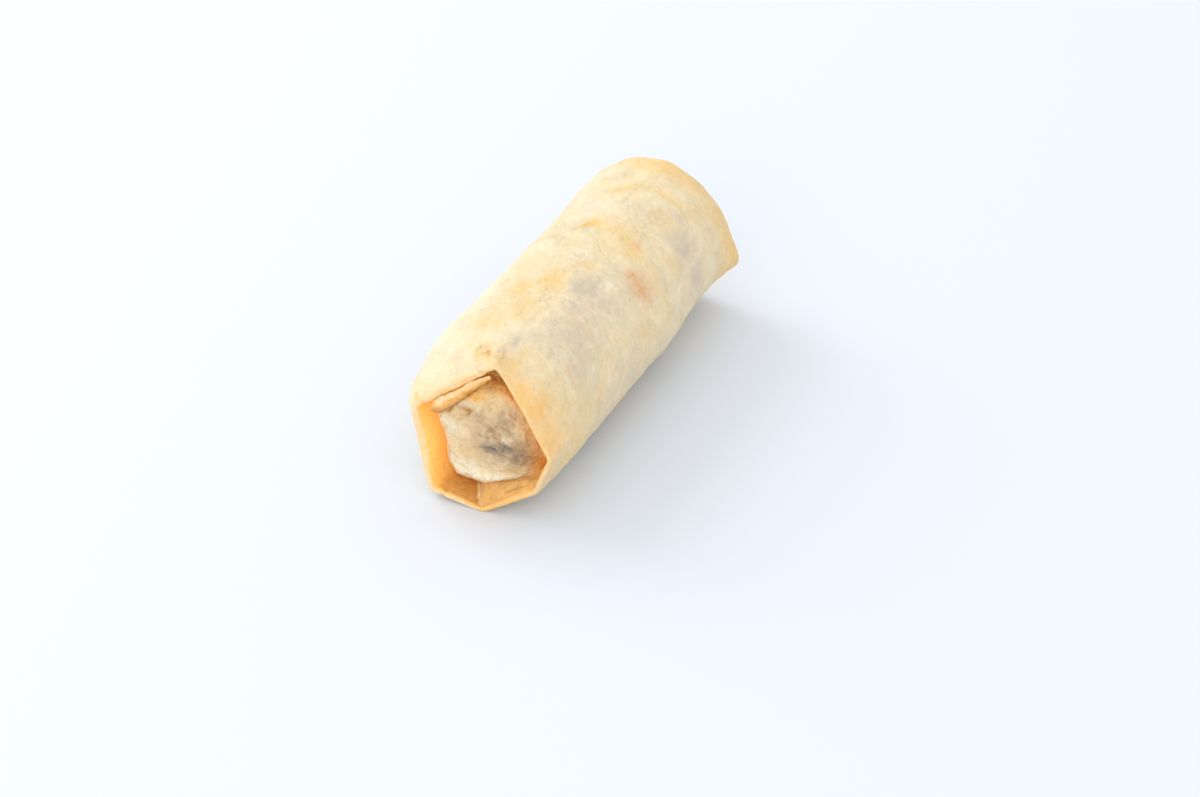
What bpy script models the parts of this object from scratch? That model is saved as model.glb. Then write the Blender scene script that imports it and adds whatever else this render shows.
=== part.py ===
"""A small fried spring roll, lying on the side that it flattened in the pan.

The wrapper is rolled round its filling and its sides are folded in, so each end is a cup: a folded rim
round a pocket, with the wrapped filling bulging up in the middle. It is food of one piece, so it is one
closed solid. Its surface is a stack of closed rings, from the middle of the near end's bulge, out and over
the near rim, along the body, over the far rim and in again. A ring holds one radius and one distance along
the roll for each angle, so a fold that wanders along the roll stays a line of the mesh.

Angles are about the roll's axis, from +X at 0 degrees up over +Z at 90. Lengths are in millimetres until
the mesh is made. The near end faces -Y.
"""

import math

import bmesh
import bpy
import numpy as np

MM = 0.001
AROUND = 72  # points in each ring

LENGTH = 74.0  # between the planes of the two ends
HALF_WIDTH = 14.6  # of the body's section, along X
HALF_HEIGHT = 12.9  # of the same section, along Z
SQUARENESS = 2.2  # 2 would be an ellipse, and more fills out its corners
UNDERSIDE = 12.7  # how far below the axis the flat underside lies
SHEET = 0.5  # one fried layer of the wrapper
FOLD = 0.7  # radius of a folded rim
POCKET_LEAN = 0.5  # how far the pocket's wall leans in towards its floor
TUCK_SLOPE = 0.5  # how far a tuck's side drops towards the pocket's floor in each degree

# The filling's larger lumps: angle, distance along the roll, height, spread round and spread along.
LUMPS = (
    (150, 17, 0.8, 40, 14),
    (60, 30, 0.35, 30, 9),
    (345, 55, 0.4, 35, 10),
    (240, 40, 0.4, 40, 12),
    (20, 14, -0.3, 30, 8),
)

# Each end of the roll:
#   middle    where it lies off the body's axis, along X and Z
#   rim       the folded rim's corners, as (angle, radius, set back from the end's plane)
#   rounding  degrees over which those corners are rounded
#   growth    length over which the rim's outline becomes the body's
#   pocket    depth of the pocket's floor
#   bulge     the wrapped filling's radius, its offset along X and the depth of its top
#   tuck      the angles between which a tucked flap fills the pocket
#   pleat     a pleat pinched up on the bulge: its angle, how far round it spreads and its height
NEAR_END = {
    "middle": (1.4, -0.1),
    "rim": (
        (1, 13.1, 0.0),
        (45, 11.0, 1.2),
        (88, 12.3, 5.2),
        (128, 10.5, 2.4),
        (163, 13.9, 0.0),
        (200, 12.2, -0.8),
        (232, 14.6, -1.6),
        (273, 13.3, -1.6),
        (325, 12.7, 0.0),
    ),
    "rounding": 3.0,
    "growth": 13.0,
    "pocket": 5.5,
    "bulge": (11.0, 1.0, -0.2),
    "tuck": (278, 354),
    "pleat": (130, 30, 1.6),
}
FAR_END = {
    "middle": (0.6, -0.3),
    "rim": (
        (30, 13.2, 0.4),
        (58, 13.0, 0.2),
        (87, 13.6, -0.2),
        (118, 13.7, -1.1),
        (150, 15.2, 0.2),
        (215, 13.8, -0.5),
        (290, 12.8, 0.3),
        (346, 15.8, 0.0),
    ),
    "rounding": 5.0,
    "growth": 8.0,
    "pocket": 4.5,
    "bulge": (10.5, -1.0, 0.6),
    "tuck": (95, 160),
    "pleat": (250, 35, 1.2),
}

# The free edge of the last turn runs round the body here, with one corner of the sheet pointing along it.
EDGE_AT = 43.2
EDGE_CORNER = (93, 6.8, 15)  # angle, reach along the roll, half spread in degrees
EDGE_SLOPE = 0.3  # length of the step down from the last turn to the one below

# Where the body's rings lie, as shares of the way from the near rim to the free edge, and from there to the
# far rim. They are closer together where the shape changes faster.
LAST_TURN_SHARES = (0.03, 0.08, 0.14, 0.21, 0.29, 0.38, 0.5, 0.63, 0.76, 0.88, 1)
TURN_BELOW_SHARES = (0, 0.15, 0.32, 0.5, 0.66, 0.8, 0.9, 0.97)
BULGE_SHARES = (1, 0.98, 0.95, 0.9, 0.84, 0.78, 0.7, 0.58, 0.42, 0.24)  # of a bulge's radius, for its rings


def angles():
    """The ring's angles, in radians."""
    return np.arange(AROUND) * 2 * math.pi / AROUND


def turn(degrees, centre):
    """How far each angle is from a centre, in degrees between -180 and 180."""
    return (degrees - centre + 180) % 360 - 180


def straight_edges(corners):
    """Radius and set-back at each whole degree of a rim whose corners are joined by straight folds."""
    radius, set_back = np.empty(360), np.empty(360)
    following = corners[1:] + corners[:1]
    for (a, radius_a, back_a), (b, radius_b, back_b) in zip(corners, following):
        span = (b - a) % 360
        step = np.arange(span + 1)
        from_a, to_b = np.radians(step), np.radians(span - step)
        chord = radius_a * radius_b * math.sin(math.radians(span))
        at = (a + step) % 360
        radius[at] = chord / (radius_a * np.sin(from_a) + radius_b * np.sin(to_b))
        set_back[at] = back_a + (back_b - back_a) * step / span
    return radius, set_back


def rounded(values, spread):
    """Values at each whole degree, smoothed round the ring, then read at the ring's angles."""
    offsets = np.arange(-20, 21)
    weights = np.exp(-0.5 * (offsets / spread) ** 2)
    smooth = sum(w * np.roll(values, o) for w, o in zip(weights / weights.sum(), offsets))
    return np.interp(np.degrees(angles()), np.arange(361), np.append(smooth, smooth[0]))


def body_radius(along):
    """The body's radius at each angle, where along is the distance down the roll at each angle."""
    theta = angles()
    across = np.abs(np.cos(theta)) / HALF_WIDTH
    up = np.abs(np.sin(theta)) / HALF_HEIGHT
    radius = (across**SQUARENESS + up**SQUARENESS) ** (-1 / SQUARENESS)
    for centre, at, height, spread_round, spread_along in LUMPS:
        away = (turn(np.degrees(theta), centre) / spread_round) ** 2 + ((along - at) / spread_along) ** 2
        radius = radius + height * np.exp(-away)
    return radius


def free_edge():
    """Where the last turn of the wrapper ends, at each angle."""
    centre, reach, spread = EDGE_CORNER
    degrees = np.degrees(angles())
    corner = reach * np.exp(-((turn(degrees, centre) / spread) ** 2))
    return EDGE_AT + corner + 0.8 * np.sin(2 * angles() + 2.4)


def end_rings(end):
    """One end's rings as (radius, depth), from the start of the rim's fold in to the middle of the bulge."""
    rim_radius, rim_depth = (rounded(values, end["rounding"]) for values in straight_edges(end["rim"]))
    bulge_radius, bulge_offset, bulge_top = end["bulge"]
    degrees = np.degrees(angles())
    first, last = end["tuck"]
    past_tuck = np.maximum(np.abs(turn(degrees, (first + last) / 2)) - (last - first) / 2, 0)
    tuck_depth = rim_depth + 2 * FOLD + TUCK_SLOPE * past_tuck
    wall = rim_radius - 2 * FOLD - POCKET_LEAN
    floor = np.maximum(end["pocket"], rim_depth + 2.5 * FOLD)
    rings = [
        (rim_radius, rim_depth + FOLD),
        (rim_radius - 0.3 * FOLD, rim_depth + 0.3 * FOLD),
        (rim_radius - FOLD, rim_depth),
        (rim_radius - 1.7 * FOLD, rim_depth + 0.3 * FOLD),
        (rim_radius - 2 * FOLD, rim_depth + FOLD),
        (wall, np.minimum(floor, tuck_depth)),
    ]
    sideways = bulge_offset * np.sin(angles())
    foot = bulge_offset * np.cos(angles()) + np.sqrt(bulge_radius**2 - sideways**2)
    foot = np.minimum(foot, wall - POCKET_LEAN)
    pleat_at, pleat_spread, pleat_height = end["pleat"]
    pleated = np.exp(-((turn(degrees, pleat_at) / pleat_spread) ** 4))
    for share in BULGE_SHARES:
        rise = math.sqrt(1 - share**2.8)
        pleat = pleat_height * pleated * math.exp(-(((share - 0.9) / 0.06) ** 2))
        bulge = floor + (bulge_top - floor) * rise - pleat
        rings.append((foot * share, np.minimum(bulge, tuck_depth)))
    return rings


def body_rings():
    """The rings between the two rims as (radius, distance along), with the step down at the free edge."""
    near_radius, near_depth = end_rings(NEAR_END)[0]
    far_radius, far_depth = end_rings(FAR_END)[0]
    near, far, edge = near_depth, LENGTH - far_depth, free_edge()
    below_edge = edge + EDGE_SLOPE
    last_turn = [near + (edge - near) * share for share in LAST_TURN_SHARES]
    turn_below = [below_edge + (far - below_edge) * share for share in TURN_BELOW_SHARES]
    rings = []
    for along, sunk in [(y, 0) for y in last_turn] + [(y, SHEET) for y in turn_below]:
        body = body_radius(along) - sunk
        near_share = (1 - np.clip((along - near) / NEAR_END["growth"], 0, 1)) ** 2
        far_share = (1 - np.clip((far - along) / FAR_END["growth"], 0, 1)) ** 2
        radius = near_radius * near_share + far_radius * far_share + body * (1 - near_share - far_share)
        middle = [near_share * n + far_share * f for n, f in zip(NEAR_END["middle"], FAR_END["middle"])]
        rings.append((radius, along, middle))
    return rings


def all_rings():
    """Every ring from the near end's middle to the far end's."""
    near = [(radius, depth, NEAR_END["middle"]) for radius, depth in reversed(end_rings(NEAR_END))]
    far = [(radius, LENGTH - depth, FAR_END["middle"]) for radius, depth in end_rings(FAR_END)]
    return near + body_rings() + far


def ring_points(radius, along, middle):
    """A ring's points in metres, with whatever hangs below the underside pressed flat."""
    x = middle[0] + radius * np.cos(angles())
    z = np.maximum(middle[1] + radius * np.sin(angles()), -UNDERSIDE)
    return np.column_stack([x, np.broadcast_to(along, x.shape), z + UNDERSIDE]) * MM


def skin(rings):
    """A closed mesh through the rings, with a point at the middle of each end."""
    mesh = bmesh.new()
    loops = [[mesh.verts.new(point) for point in ring_points(*ring)] for ring in rings]
    for lower, upper in zip(loops, loops[1:]):
        for i in range(AROUND):
            j = (i + 1) % AROUND
            mesh.faces.new((lower[i], lower[j], upper[j], upper[i]))
    near_top, far_top = NEAR_END["bulge"][2], LENGTH - FAR_END["bulge"][2]
    for loop, end, top in ((loops[0], NEAR_END, near_top), (loops[-1], FAR_END, far_top)):
        x, z = end["middle"]
        pole = mesh.verts.new((x * MM, top * MM, (z + UNDERSIDE) * MM))
        for i in range(AROUND):
            mesh.faces.new((loop[i], loop[(i + 1) % AROUND], pole))
    bmesh.ops.recalc_face_normals(mesh, faces=mesh.faces)
    return mesh


def centred_on_its_base(mesh):
    """Moves the mesh so that the middle of its box's underside is the origin."""
    points = np.array([vertex.co for vertex in mesh.verts])
    low, high = points.min(axis=0), points.max(axis=0)
    middle_x, middle_y = (low[:2] + high[:2]) / 2
    bmesh.ops.translate(mesh, verts=mesh.verts, vec=(-middle_x, -middle_y, -low[2]))


def pastry_material():
    """Pale gold fried pastry with an oily half sheen."""
    material = bpy.data.materials.new("fried_pastry")
    material.use_nodes = True
    shader = material.node_tree.nodes["Principled BSDF"]
    shader.inputs["Base Color"].default_value = (0.80, 0.60, 0.34, 1)
    shader.inputs["Roughness"].default_value = 0.5
    shader.inputs["Metallic"].default_value = 0.0
    return material


def build():
    for old in list(bpy.data.objects):
        bpy.data.objects.remove(old)
    mesh = skin(all_rings())
    centred_on_its_base(mesh)
    data = bpy.data.meshes.new("spring_roll")
    mesh.to_mesh(data)
    mesh.free()
    data.shade_smooth()
    data.set_sharp_from_angle(angle=math.radians(50))
    data.materials.append(pastry_material())
    roll = bpy.data.objects.new("spring_roll", data)
    bpy.context.scene.collection.objects.link(roll)


build()
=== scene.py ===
# %% [markdown]
# # A small fried spring roll
#
# This lesson builds one fried spring roll in Blender. A thin sheet of dough is rolled round a filling and
# its sides are folded in, so each end is a cup: a folded rim round a pocket, with the wrapped filling
# bulging up inside it. Frying turns the sheet pale gold, blisters it, browns its folds and lets the
# filling show through as darker clouds.
#
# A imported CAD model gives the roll's true size and place. It is loaded first, and every piece made here
# stands in the same frame, in metres, with +Z up. The roll lies along Y and its open end faces -Y.

# %% The frame
import math

import bpy
import numpy as np
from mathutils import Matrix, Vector, noise


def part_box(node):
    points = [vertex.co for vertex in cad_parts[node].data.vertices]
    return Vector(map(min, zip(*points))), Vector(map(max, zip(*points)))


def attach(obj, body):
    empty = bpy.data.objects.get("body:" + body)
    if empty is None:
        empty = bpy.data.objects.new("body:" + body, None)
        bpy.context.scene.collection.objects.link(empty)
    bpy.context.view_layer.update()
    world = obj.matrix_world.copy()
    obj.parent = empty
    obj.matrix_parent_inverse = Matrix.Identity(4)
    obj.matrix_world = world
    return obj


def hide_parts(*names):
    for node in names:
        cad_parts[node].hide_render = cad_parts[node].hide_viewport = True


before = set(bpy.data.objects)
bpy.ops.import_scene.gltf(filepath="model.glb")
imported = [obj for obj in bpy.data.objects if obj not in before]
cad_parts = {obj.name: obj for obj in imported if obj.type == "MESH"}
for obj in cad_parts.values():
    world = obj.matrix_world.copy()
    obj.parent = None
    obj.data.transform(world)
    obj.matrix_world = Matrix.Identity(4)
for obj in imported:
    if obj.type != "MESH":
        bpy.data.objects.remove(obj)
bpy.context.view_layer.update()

cad_low, cad_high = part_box("spring_roll")
print("the roll's box in millimetres:", [round((h - l) * 1000, 1) for l, h in zip(cad_low, cad_high)])

# %% [markdown]
# ## The measures of the roll
#
# A cook would give a roll's length, its thickness and where the corners of each folded rim are. The same
# few numbers drive everything below. They are in millimetres, because that is how food is measured, and
# `to_row` turns them into the frame's metres at the very end. Angles are about the roll's axis, from +X at
# 0 degrees up over +Z at 90.

# %% Measures of the body
MM = 0.001
AROUND = 400  # points round each ring of the skin
LENGTH = 74.0
HALF_WIDTH = 14.6
HALF_HEIGHT = 12.9
SQUARENESS = 2.2  # 2 is an ellipse, and more fills out its corners
UNDERSIDE = 12.7  # from the axis down to the flat underside
FURTHEST_FORWARD = 1.6  # how far the near rim reaches in front of the end's plane
AXIS_OFFSET = -0.12  # the body's axis, from the middle of the roll's box

# The filling's larger lumps: angle, distance along the roll, height, spread round and spread along.
FILLING_LUMPS = (
    (150, 17, 0.8, 40, 14),
    (60, 30, 0.35, 30, 9),
    (345, 55, 0.4, 35, 10),
    (240, 40, 0.4, 40, 12),
    (20, 14, -0.3, 30, 8),
    (333, 61, -0.9, 24, 9),
)

theta = np.arange(AROUND) * 2 * math.pi / AROUND
degrees = np.degrees(theta)


def turn(angle, centre):
    """How far an angle is from a centre, in degrees between -180 and 180."""
    return (angle - centre + 180) % 360 - 180


def bump_at(angle, centre, spread):
    """1 at one angle of the ring, falling away smoothly on both sides."""
    return np.exp(-((turn(angle, centre) / spread) ** 2))


def past(place, start, softness):
    """0 before a start and 1 past it, with a soft step between, for angles or distances."""
    return 1 / (1 + np.exp((start - place) / softness))


def to_row(points):
    """Points from the roll's own millimetres into the frame's metres."""
    shift = np.array([AXIS_OFFSET, FURTHEST_FORWARD + cad_low.y / MM, UNDERSIDE])
    return (points + shift) * MM


print("rings of", AROUND, "points,", round(2 * math.pi * HALF_WIDTH / AROUND, 2), "mm apart")

# %% [markdown]
# ## The folded rims
#
# Folding the sides of the sheet in leaves each end with a rim of almost straight folds that meet at
# corners. A rim is given by its corners: angle, distance from the middle, how far it is set back, and the
# radius of the fold there, which is tight where the sheet is single and fat where it is doubled over. The
# straight line between two corners has a simple form in polar coordinates, so a rim becomes one radius for
# each angle. A circular blur then rounds the corners.

# %% Rims
NEAR_RIM = (
    (1, 13.1, 0.0, 0.45),
    (45, 11.0, 1.2, 0.35),
    (88, 12.3, 5.2, 0.40),
    (128, 10.5, 2.4, 0.55),
    (163, 13.9, 0.0, 0.90),
    (200, 12.2, -0.8, 1.30),
    (232, 14.6, -1.6, 0.65),
    (273, 13.3, -1.6, 0.55),
    (325, 12.7, 0.0, 0.50),
)
FAR_RIM = (
    (30, 13.2, 0.4, 0.7),
    (58, 13.0, 0.2, 0.7),
    (87, 13.6, -0.2, 0.8),
    (118, 13.7, -1.1, 0.8),
    (150, 15.2, 0.2, 0.6),
    (215, 13.8, -0.5, 0.8),
    (290, 12.8, 0.3, 0.6),
    (346, 15.8, 0.0, 0.7),
)
NEAR_MIDDLE = (1.4, -0.1)
FAR_MIDDLE = (0.6, -0.3)


def blurred(values, spread):
    """Values at each whole degree, blurred round the ring, then read at the ring's points."""
    offsets = np.arange(-20, 21)
    weights = np.exp(-0.5 * (offsets / spread) ** 2)
    smooth = sum(w * np.roll(values, o) for w, o in zip(weights / weights.sum(), offsets))
    return np.interp(degrees, np.arange(361), np.append(smooth, smooth[0]))


def folded_rim(corners, rounding):
    """Radius, set-back and fold radius of a rim at each of the ring's points."""
    radius, back, fold = np.empty(360), np.empty(360), np.empty(360)
    for (a, ra, ba, fa), (b, rb, bb, fb) in zip(corners, corners[1:] + corners[:1]):
        span = (b - a) % 360
        step = np.arange(span + 1)
        at = (a + step) % 360
        chord = ra * rb * math.sin(math.radians(span))
        radius[at] = chord / (ra * np.sin(np.radians(step)) + rb * np.sin(np.radians(span - step)))
        back[at] = ba + (bb - ba) * step / span
        fold[at] = fa + (fb - fa) * step / span
    return blurred(radius, rounding), blurred(back, rounding), blurred(fold, 6)


near_rim, near_back, near_fold = folded_rim(NEAR_RIM, 2.0)
far_rim, far_back, far_fold = folded_rim(FAR_RIM, 5.0)
print("near rim between", round(near_rim.min(), 1), "and", round(near_rim.max(), 1), "mm from its middle")

# %% [markdown]
# ## The round body between them
#
# Between the rims the filling rounds the sheet out to a flattened circle, a superellipse, with a few lumps
# where the filling is thick. Close to an end the section takes over the rim's corners. The mixing weight
# falls with the square of the distance, so the ridges that run back from the corners die away softly.

# %% Body
NEAR_GROWTH, FAR_GROWTH = 13.0, 8.0  # lengths over which a rim's outline becomes the body's


def body_radius(along):
    """The body's radius for each angle, at a distance along the roll that may differ round the ring."""
    across = np.abs(np.cos(theta)) / HALF_WIDTH
    up = np.abs(np.sin(theta)) / HALF_HEIGHT
    radius = (across**SQUARENESS + up**SQUARENESS) ** (-1 / SQUARENESS)
    for centre, at, height, spread_round, spread_along in FILLING_LUMPS:
        nearness = np.exp(-(((along - at) / spread_along) ** 2))
        radius = radius + height * bump_at(degrees, centre, spread_round) * nearness
    return radius


near_start = near_back + near_fold
far_start = LENGTH - far_back - far_fold


def section(along, sunk=0.0):
    """One ring of the body: its points round the roll's axis, sunk below the outermost turn."""
    near_share = (1 - np.clip((along - near_start) / NEAR_GROWTH, 0, 1)) ** 2
    far_share = (1 - np.clip((far_start - along) / FAR_GROWTH, 0, 1)) ** 2
    body = body_radius(along) - sunk
    radius = near_rim * near_share + far_rim * far_share + body * (1 - near_share - far_share)
    x = NEAR_MIDDLE[0] * near_share + FAR_MIDDLE[0] * far_share + radius * np.cos(theta)
    z = NEAR_MIDDLE[1] * near_share + FAR_MIDDLE[1] * far_share + radius * np.sin(theta)
    return np.column_stack([x, np.broadcast_to(along, x.shape), z])


def ring(radius, along, middle):
    """A ring of points about one end's middle."""
    x = middle[0] + radius * np.cos(theta)
    z = middle[1] + radius * np.sin(theta)
    return np.column_stack([x, np.broadcast_to(along, x.shape), z])


print("the body is", round(np.ptp(section(30.0)[:, 0]), 1), "mm wide half way along")

# %% [markdown]
# ## Uneven dough
#
# Fried dough is never smooth. Large soft lumps come from the filling, finer ones from blisters under the
# surface. Perlin noise read at each point's place in space gives both, without a seam where the ring
# closes. A point then moves along the surface's own normal, which keeps folds as thick as they were. The
# underside is pressed flat last, with a soft corner, as the pan pressed it.

# %% Helpers for uneven dough
def lumps(points, size, seed):
    """Soft lumps between about -1 and 1 and `size` millimetres across, read at each point."""
    offset = Vector((seed * 17.3, seed * 5.1, seed * 9.7))
    flat = points.reshape(-1, 3) / size
    values = [noise.noise(Vector(p) + offset) for p in flat.tolist()]
    return np.array(values).reshape(points.shape[:-1]) * 1.6


def outward(grid):
    """Unit normals of a grid whose rows follow the surface and whose columns go round it."""
    along = np.gradient(grid, axis=0)
    round_it = np.roll(grid, -1, axis=1) - np.roll(grid, 1, axis=1)
    normal = np.cross(along, round_it)
    return normal / np.maximum(np.linalg.norm(normal, axis=2, keepdims=True), 1e-9)


def pushed(grid, amount):
    """The grid with each point moved along its normal."""
    return grid + outward(grid) * amount[..., None]


def pressed_flat(grid, softness=0.1):
    """The grid with what hangs below the underside pressed up to it."""
    flat = grid.copy()
    flat[..., 2] = softness * np.logaddexp(0, (grid[..., 2] + UNDERSIDE) / softness) - UNDERSIDE
    return flat


print("a lump of dough:", round(float(lumps(section(20.0), 6, 1).max()), 2))

# %% [markdown]
# ## Patches of colour
#
# The sheet is thin enough for the filling to show. Where a mushroom or a strip of noodle lies under it the
# skin looks grey, a carrot makes it orange, and where it has blistered away from the filling it is cream.
# Folds and free edges cook faster and turn golden, then brown. A painted picture could hold these patches.
# Here each kind is a list of soft spots, so that one can be moved without painting anything again: angle,
# distance along, half width round and along the roll in millimetres, and strength. Golden comes first.

# %% Golden patches
GOLDEN_SPOTS = (
    (92, 31, 2.4, 4.5, 0.95),
    (109, 27, 2.8, 3.4, 1.0),
    (97, 22, 2.6, 3.8, 0.8),
    (112, 17, 3.2, 4.0, 0.65),
    (77, 38, 2.2, 1.6, 0.7),
    (75, 7, 2.0, 2.6, 1.0),
    (58, 4, 3.0, 2.6, 0.8),
    (38, 4, 4.0, 3.0, 0.8),
    (15, 6, 4.0, 4.5, 0.7),
    (355, 10, 5.0, 6.0, 0.7),
    (340, 8, 4.0, 5.0, 0.6),
    (103, 8.4, 2.2, 1.6, 1.0),
    (92, 10, 1.5, 0.9, 0.7),
    (80, 50.5, 3.0, 2.0, 0.75),
    (69, 49, 2.6, 2.6, 0.95),
    (57, 46.6, 2.4, 2.2, 0.75),
    (40, 46.5, 3.0, 1.5, 0.45),
    (12, 45, 3.0, 1.4, 0.45),
    (100, 71, 3.6, 2.0, 0.7),
    (85, 70.6, 4.0, 2.2, 0.8),
    (60, 70.5, 6.0, 2.2, 0.6),
    (30, 69.5, 6.0, 2.6, 0.6),
    (5, 70, 5.0, 2.8, 0.8),
    (345, 69, 5.0, 3.0, 0.8),
    (66, 64.6, 5.0, 1.1, 0.6),
    (99, 63.8, 3.6, 1.2, 0.5),
    (57, 58, 2.8, 2.2, 0.45),
    (45, 65, 4.0, 2.0, 0.45),
    (12, 36, 5.0, 5.0, 0.25),
    (200, 14, 4.0, 5.0, 0.6),
    (180, 33, 3.0, 5.0, 0.6),
    (225, 55, 4.0, 4.0, 0.7),
    (260, 20, 5.0, 6.0, 0.7),
    (290, 40, 4.0, 6.0, 0.7),
    (325, 12, 3.0, 4.0, 0.5),
    (330, 62, 4.0, 4.0, 0.5),
)
print(len(GOLDEN_SPOTS), "golden spots")

# %% [markdown]
# The filling shows as grey-brown clouds. It lies closest to the sheet along the upper side, and in a few
# patches on the side that is turned away.

# %% Filling under the skin
FILLING_SPOTS = (
    (68, 32, 2.5, 4.0, 1.1),
    (61, 27, 2.6, 3.4, 0.75),
    (52, 31, 1.6, 2.2, 0.5),
    (33, 57, 3.0, 2.8, 1.1),
    (8, 57, 4.0, 3.2, 0.8),
    (83, 12.2, 1.4, 2.2, 1.0),
    (72, 15, 2.2, 2.4, 0.5),
    (50, 20, 5.0, 5.5, 0.6),
    (28, 16, 3.4, 3.0, 0.55),
    (40, 33, 2.5, 3.0, 0.4),
    (72, 57, 3.4, 3.4, 0.4),
    (45, 61, 3.0, 1.5, 0.35),
    (355, 30, 3.0, 7.0, 0.35),
    (200, 26, 3.0, 4.0, 0.9),
    (176, 52, 3.0, 4.0, 0.8),
    (230, 38, 3.5, 5.0, 0.8),
    (305, 22, 3.0, 5.0, 0.8),
    (318, 48, 3.0, 4.0, 0.8),
)
print(len(FILLING_SPOTS), "spots of filling")

# %% [markdown]
# Carrot is rarer: one strip crosses the roll just before the free edge. Cream marks the places where the
# sheet has lifted off the filling, so nothing dark shows through. Two cream spots are also painted
# highlights: one on the thin white crease near the mouth, and one on the pale lip beside the free edge.

# %% Carrot and cream patches
CARROT_SPOTS = (
    (45, 41.6, 2.0, 1.7, 0.75),
    (38, 41.2, 3.0, 2.7, 0.75),
    (41, 41.0, 1.2, 1.1, 0.95),
    (29, 41.4, 1.5, 1.5, 0.5),
    (47.5, 42.0, 0.4, 0.4, 1.4),
    (59, 48.6, 0.8, 0.7, 0.6),
    (215, 50, 2.0, 1.4, 0.8),
    (300, 33, 1.6, 2.0, 0.8),
)
CREAM_AND_HIGHLIGHT_SPOTS = (
    (56, 35.4, 0.8, 2.4, 0.8),
    # painted highlight on the lip beside the free edge, partly pale dough
    (108, 45.3, 2.6, 0.9, 0.9),
    (28, 35, 2.0, 1.2, 0.5),
    (110, 57, 2.5, 2.5, 0.5),
    (15, 49.5, 3.0, 1.2, 0.4),
    # painted highlight along the thin white crease
    (92, 16.8, 1.8, 0.4, 1.0),
    (33, 11.6, 2.0, 0.5, 0.5),
    (140, 26, 4.0, 9.0, 0.5),
    (140, 10, 4.5, 6.0, 0.55),
    (250, 60, 3.0, 3.0, 0.5),
)
print(len(CARROT_SPOTS), "spots of carrot and", len(CREAM_AND_HIGHLIGHT_SPOTS), "of cream")

# %% [markdown]
# Noise frays the outlines of the spots, so that they read as stains and not as discs. The result for each
# kind is one number per point, which the mesh keeps as a named attribute. A material can then mix its
# colours with it.

# %% From spots to masks
ARC = math.radians(1) * 13.6  # millimetres of skin for one degree


def spots(grid, listed, fray, seed):
    """How strongly each point of a skin is inside one of the listed spots, from 0 to 1."""
    frayed = lumps(grid, 3.0, seed) * fray + lumps(grid, 1.2, seed + 1) * fray * 0.6
    strength = np.zeros(grid.shape[:2])
    for centre, at, wide, long, most in listed:
        away = (turn(degrees, centre) * ARC / wide) ** 2 + ((grid[..., 1] - at) / long) ** 2
        strength = np.maximum(strength, most * np.exp(-away) * (1 + frayed))
    return np.clip(strength, 0, 1.4)


def skin_patches(grid):
    """The four kinds of patch for a skin."""
    return {
        "golden": spots(grid, GOLDEN_SPOTS, 0.32, 11),
        "filling": spots(grid, FILLING_SPOTS, 0.45, 21),
        "carrot": spots(grid, CARROT_SPOTS, 0.3, 31),
        "cream": spots(grid, CREAM_AND_HIGHLIGHT_SPOTS, 0.6, 41),
    }


golden_there = skin_patches(section(30.0)[None])["golden"]
print("30 mm along, the skin is up to", round(float(golden_there.max()), 2), "golden")

# %% [markdown]
# ## A grid becomes a mesh
#
# Each piece of the roll is a closed surface: rings of points joined by quads. The wrapper's turns are tubes
# with a thickness, so their last ring joins their first. A bulge is closed by a point at each pole. Closed
# pieces with outward faces render, measure and print without surprises.

# %% From rings to a mesh
def mesh_of_rings(name, grid, masks, joined):
    """An object made of rings of points. Its ends are joined to each other, or else closed at poles."""
    rows, around = grid.shape[:2]
    index = np.arange(rows * around).reshape(rows, around)
    if joined:
        index = np.vstack([index, index[:1]])
    nearer, further = index[:-1], index[1:]
    quads = np.stack([nearer, further, np.roll(further, -1, 1), np.roll(nearer, -1, 1)], axis=-1)
    faces = quads.reshape(-1, 4).tolist()
    points = grid.reshape(-1, 3)
    if not joined:
        poles = np.array([grid[0].mean(axis=0), grid[-1].mean(axis=0)])
        points = np.vstack([points, poles])
        first, last = rows * around, rows * around + 1
        faces += [(first, int(index[0, i]), int(index[0, (i + 1) % around])) for i in range(around)]
        faces += [(last, int(index[-1, (i + 1) % around]), int(index[-1, i])) for i in range(around)]
    mesh = bpy.data.meshes.new(name)
    mesh.from_pydata(to_row(points).tolist(), [], faces)
    for mask, values in masks.items():
        flat = values.reshape(-1)
        if not joined:
            flat = np.append(flat, [values[0].mean(), values[-1].mean()])
        mesh.attributes.new(mask, "FLOAT", "POINT").data.foreach_set("value", flat.astype(np.float32))
    mesh.shade_smooth()
    mesh.update()
    piece = bpy.data.objects.new(name, mesh)
    bpy.context.scene.collection.objects.link(piece)
    print(f"{name}: {len(mesh.polygons)} faces")
    return piece


def rows_between(first, last, count):
    """Rings evenly spaced from one ring to another, without the first."""
    share = np.linspace(0, 1, count + 1)[1:, None, None]
    return list(first + (last - first) * share)


print("three rings between two others:", len(rows_between(section(20.0), section(30.0), 3)))

# %% [markdown]
# ## The free edge of the last turn
#
# The sheet's last turn ends part of the way along the roll. On the upper left its edge has lifted and curled
# while it fried, so a pale lip stands over a gap, painted orange for the oil in it and as painted shadow
# under the lip. On the right it has stuck down and only a faint line shows. One corner of the sheet points
# along the roll, and the edge is a little ragged.

# %% Free edge
EDGE_AT = 43.2
TIP_REACH = 6.5  # how far the sheet's corner points along the roll


def wavering(height, waves, level):
    """A small height for each angle of the ring, read round a circle in the noise so that it closes."""
    places = [Vector((math.cos(t) * waves, math.sin(t) * waves, level)) for t in theta]
    return height * np.array([noise.noise(place) for place in places])


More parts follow.
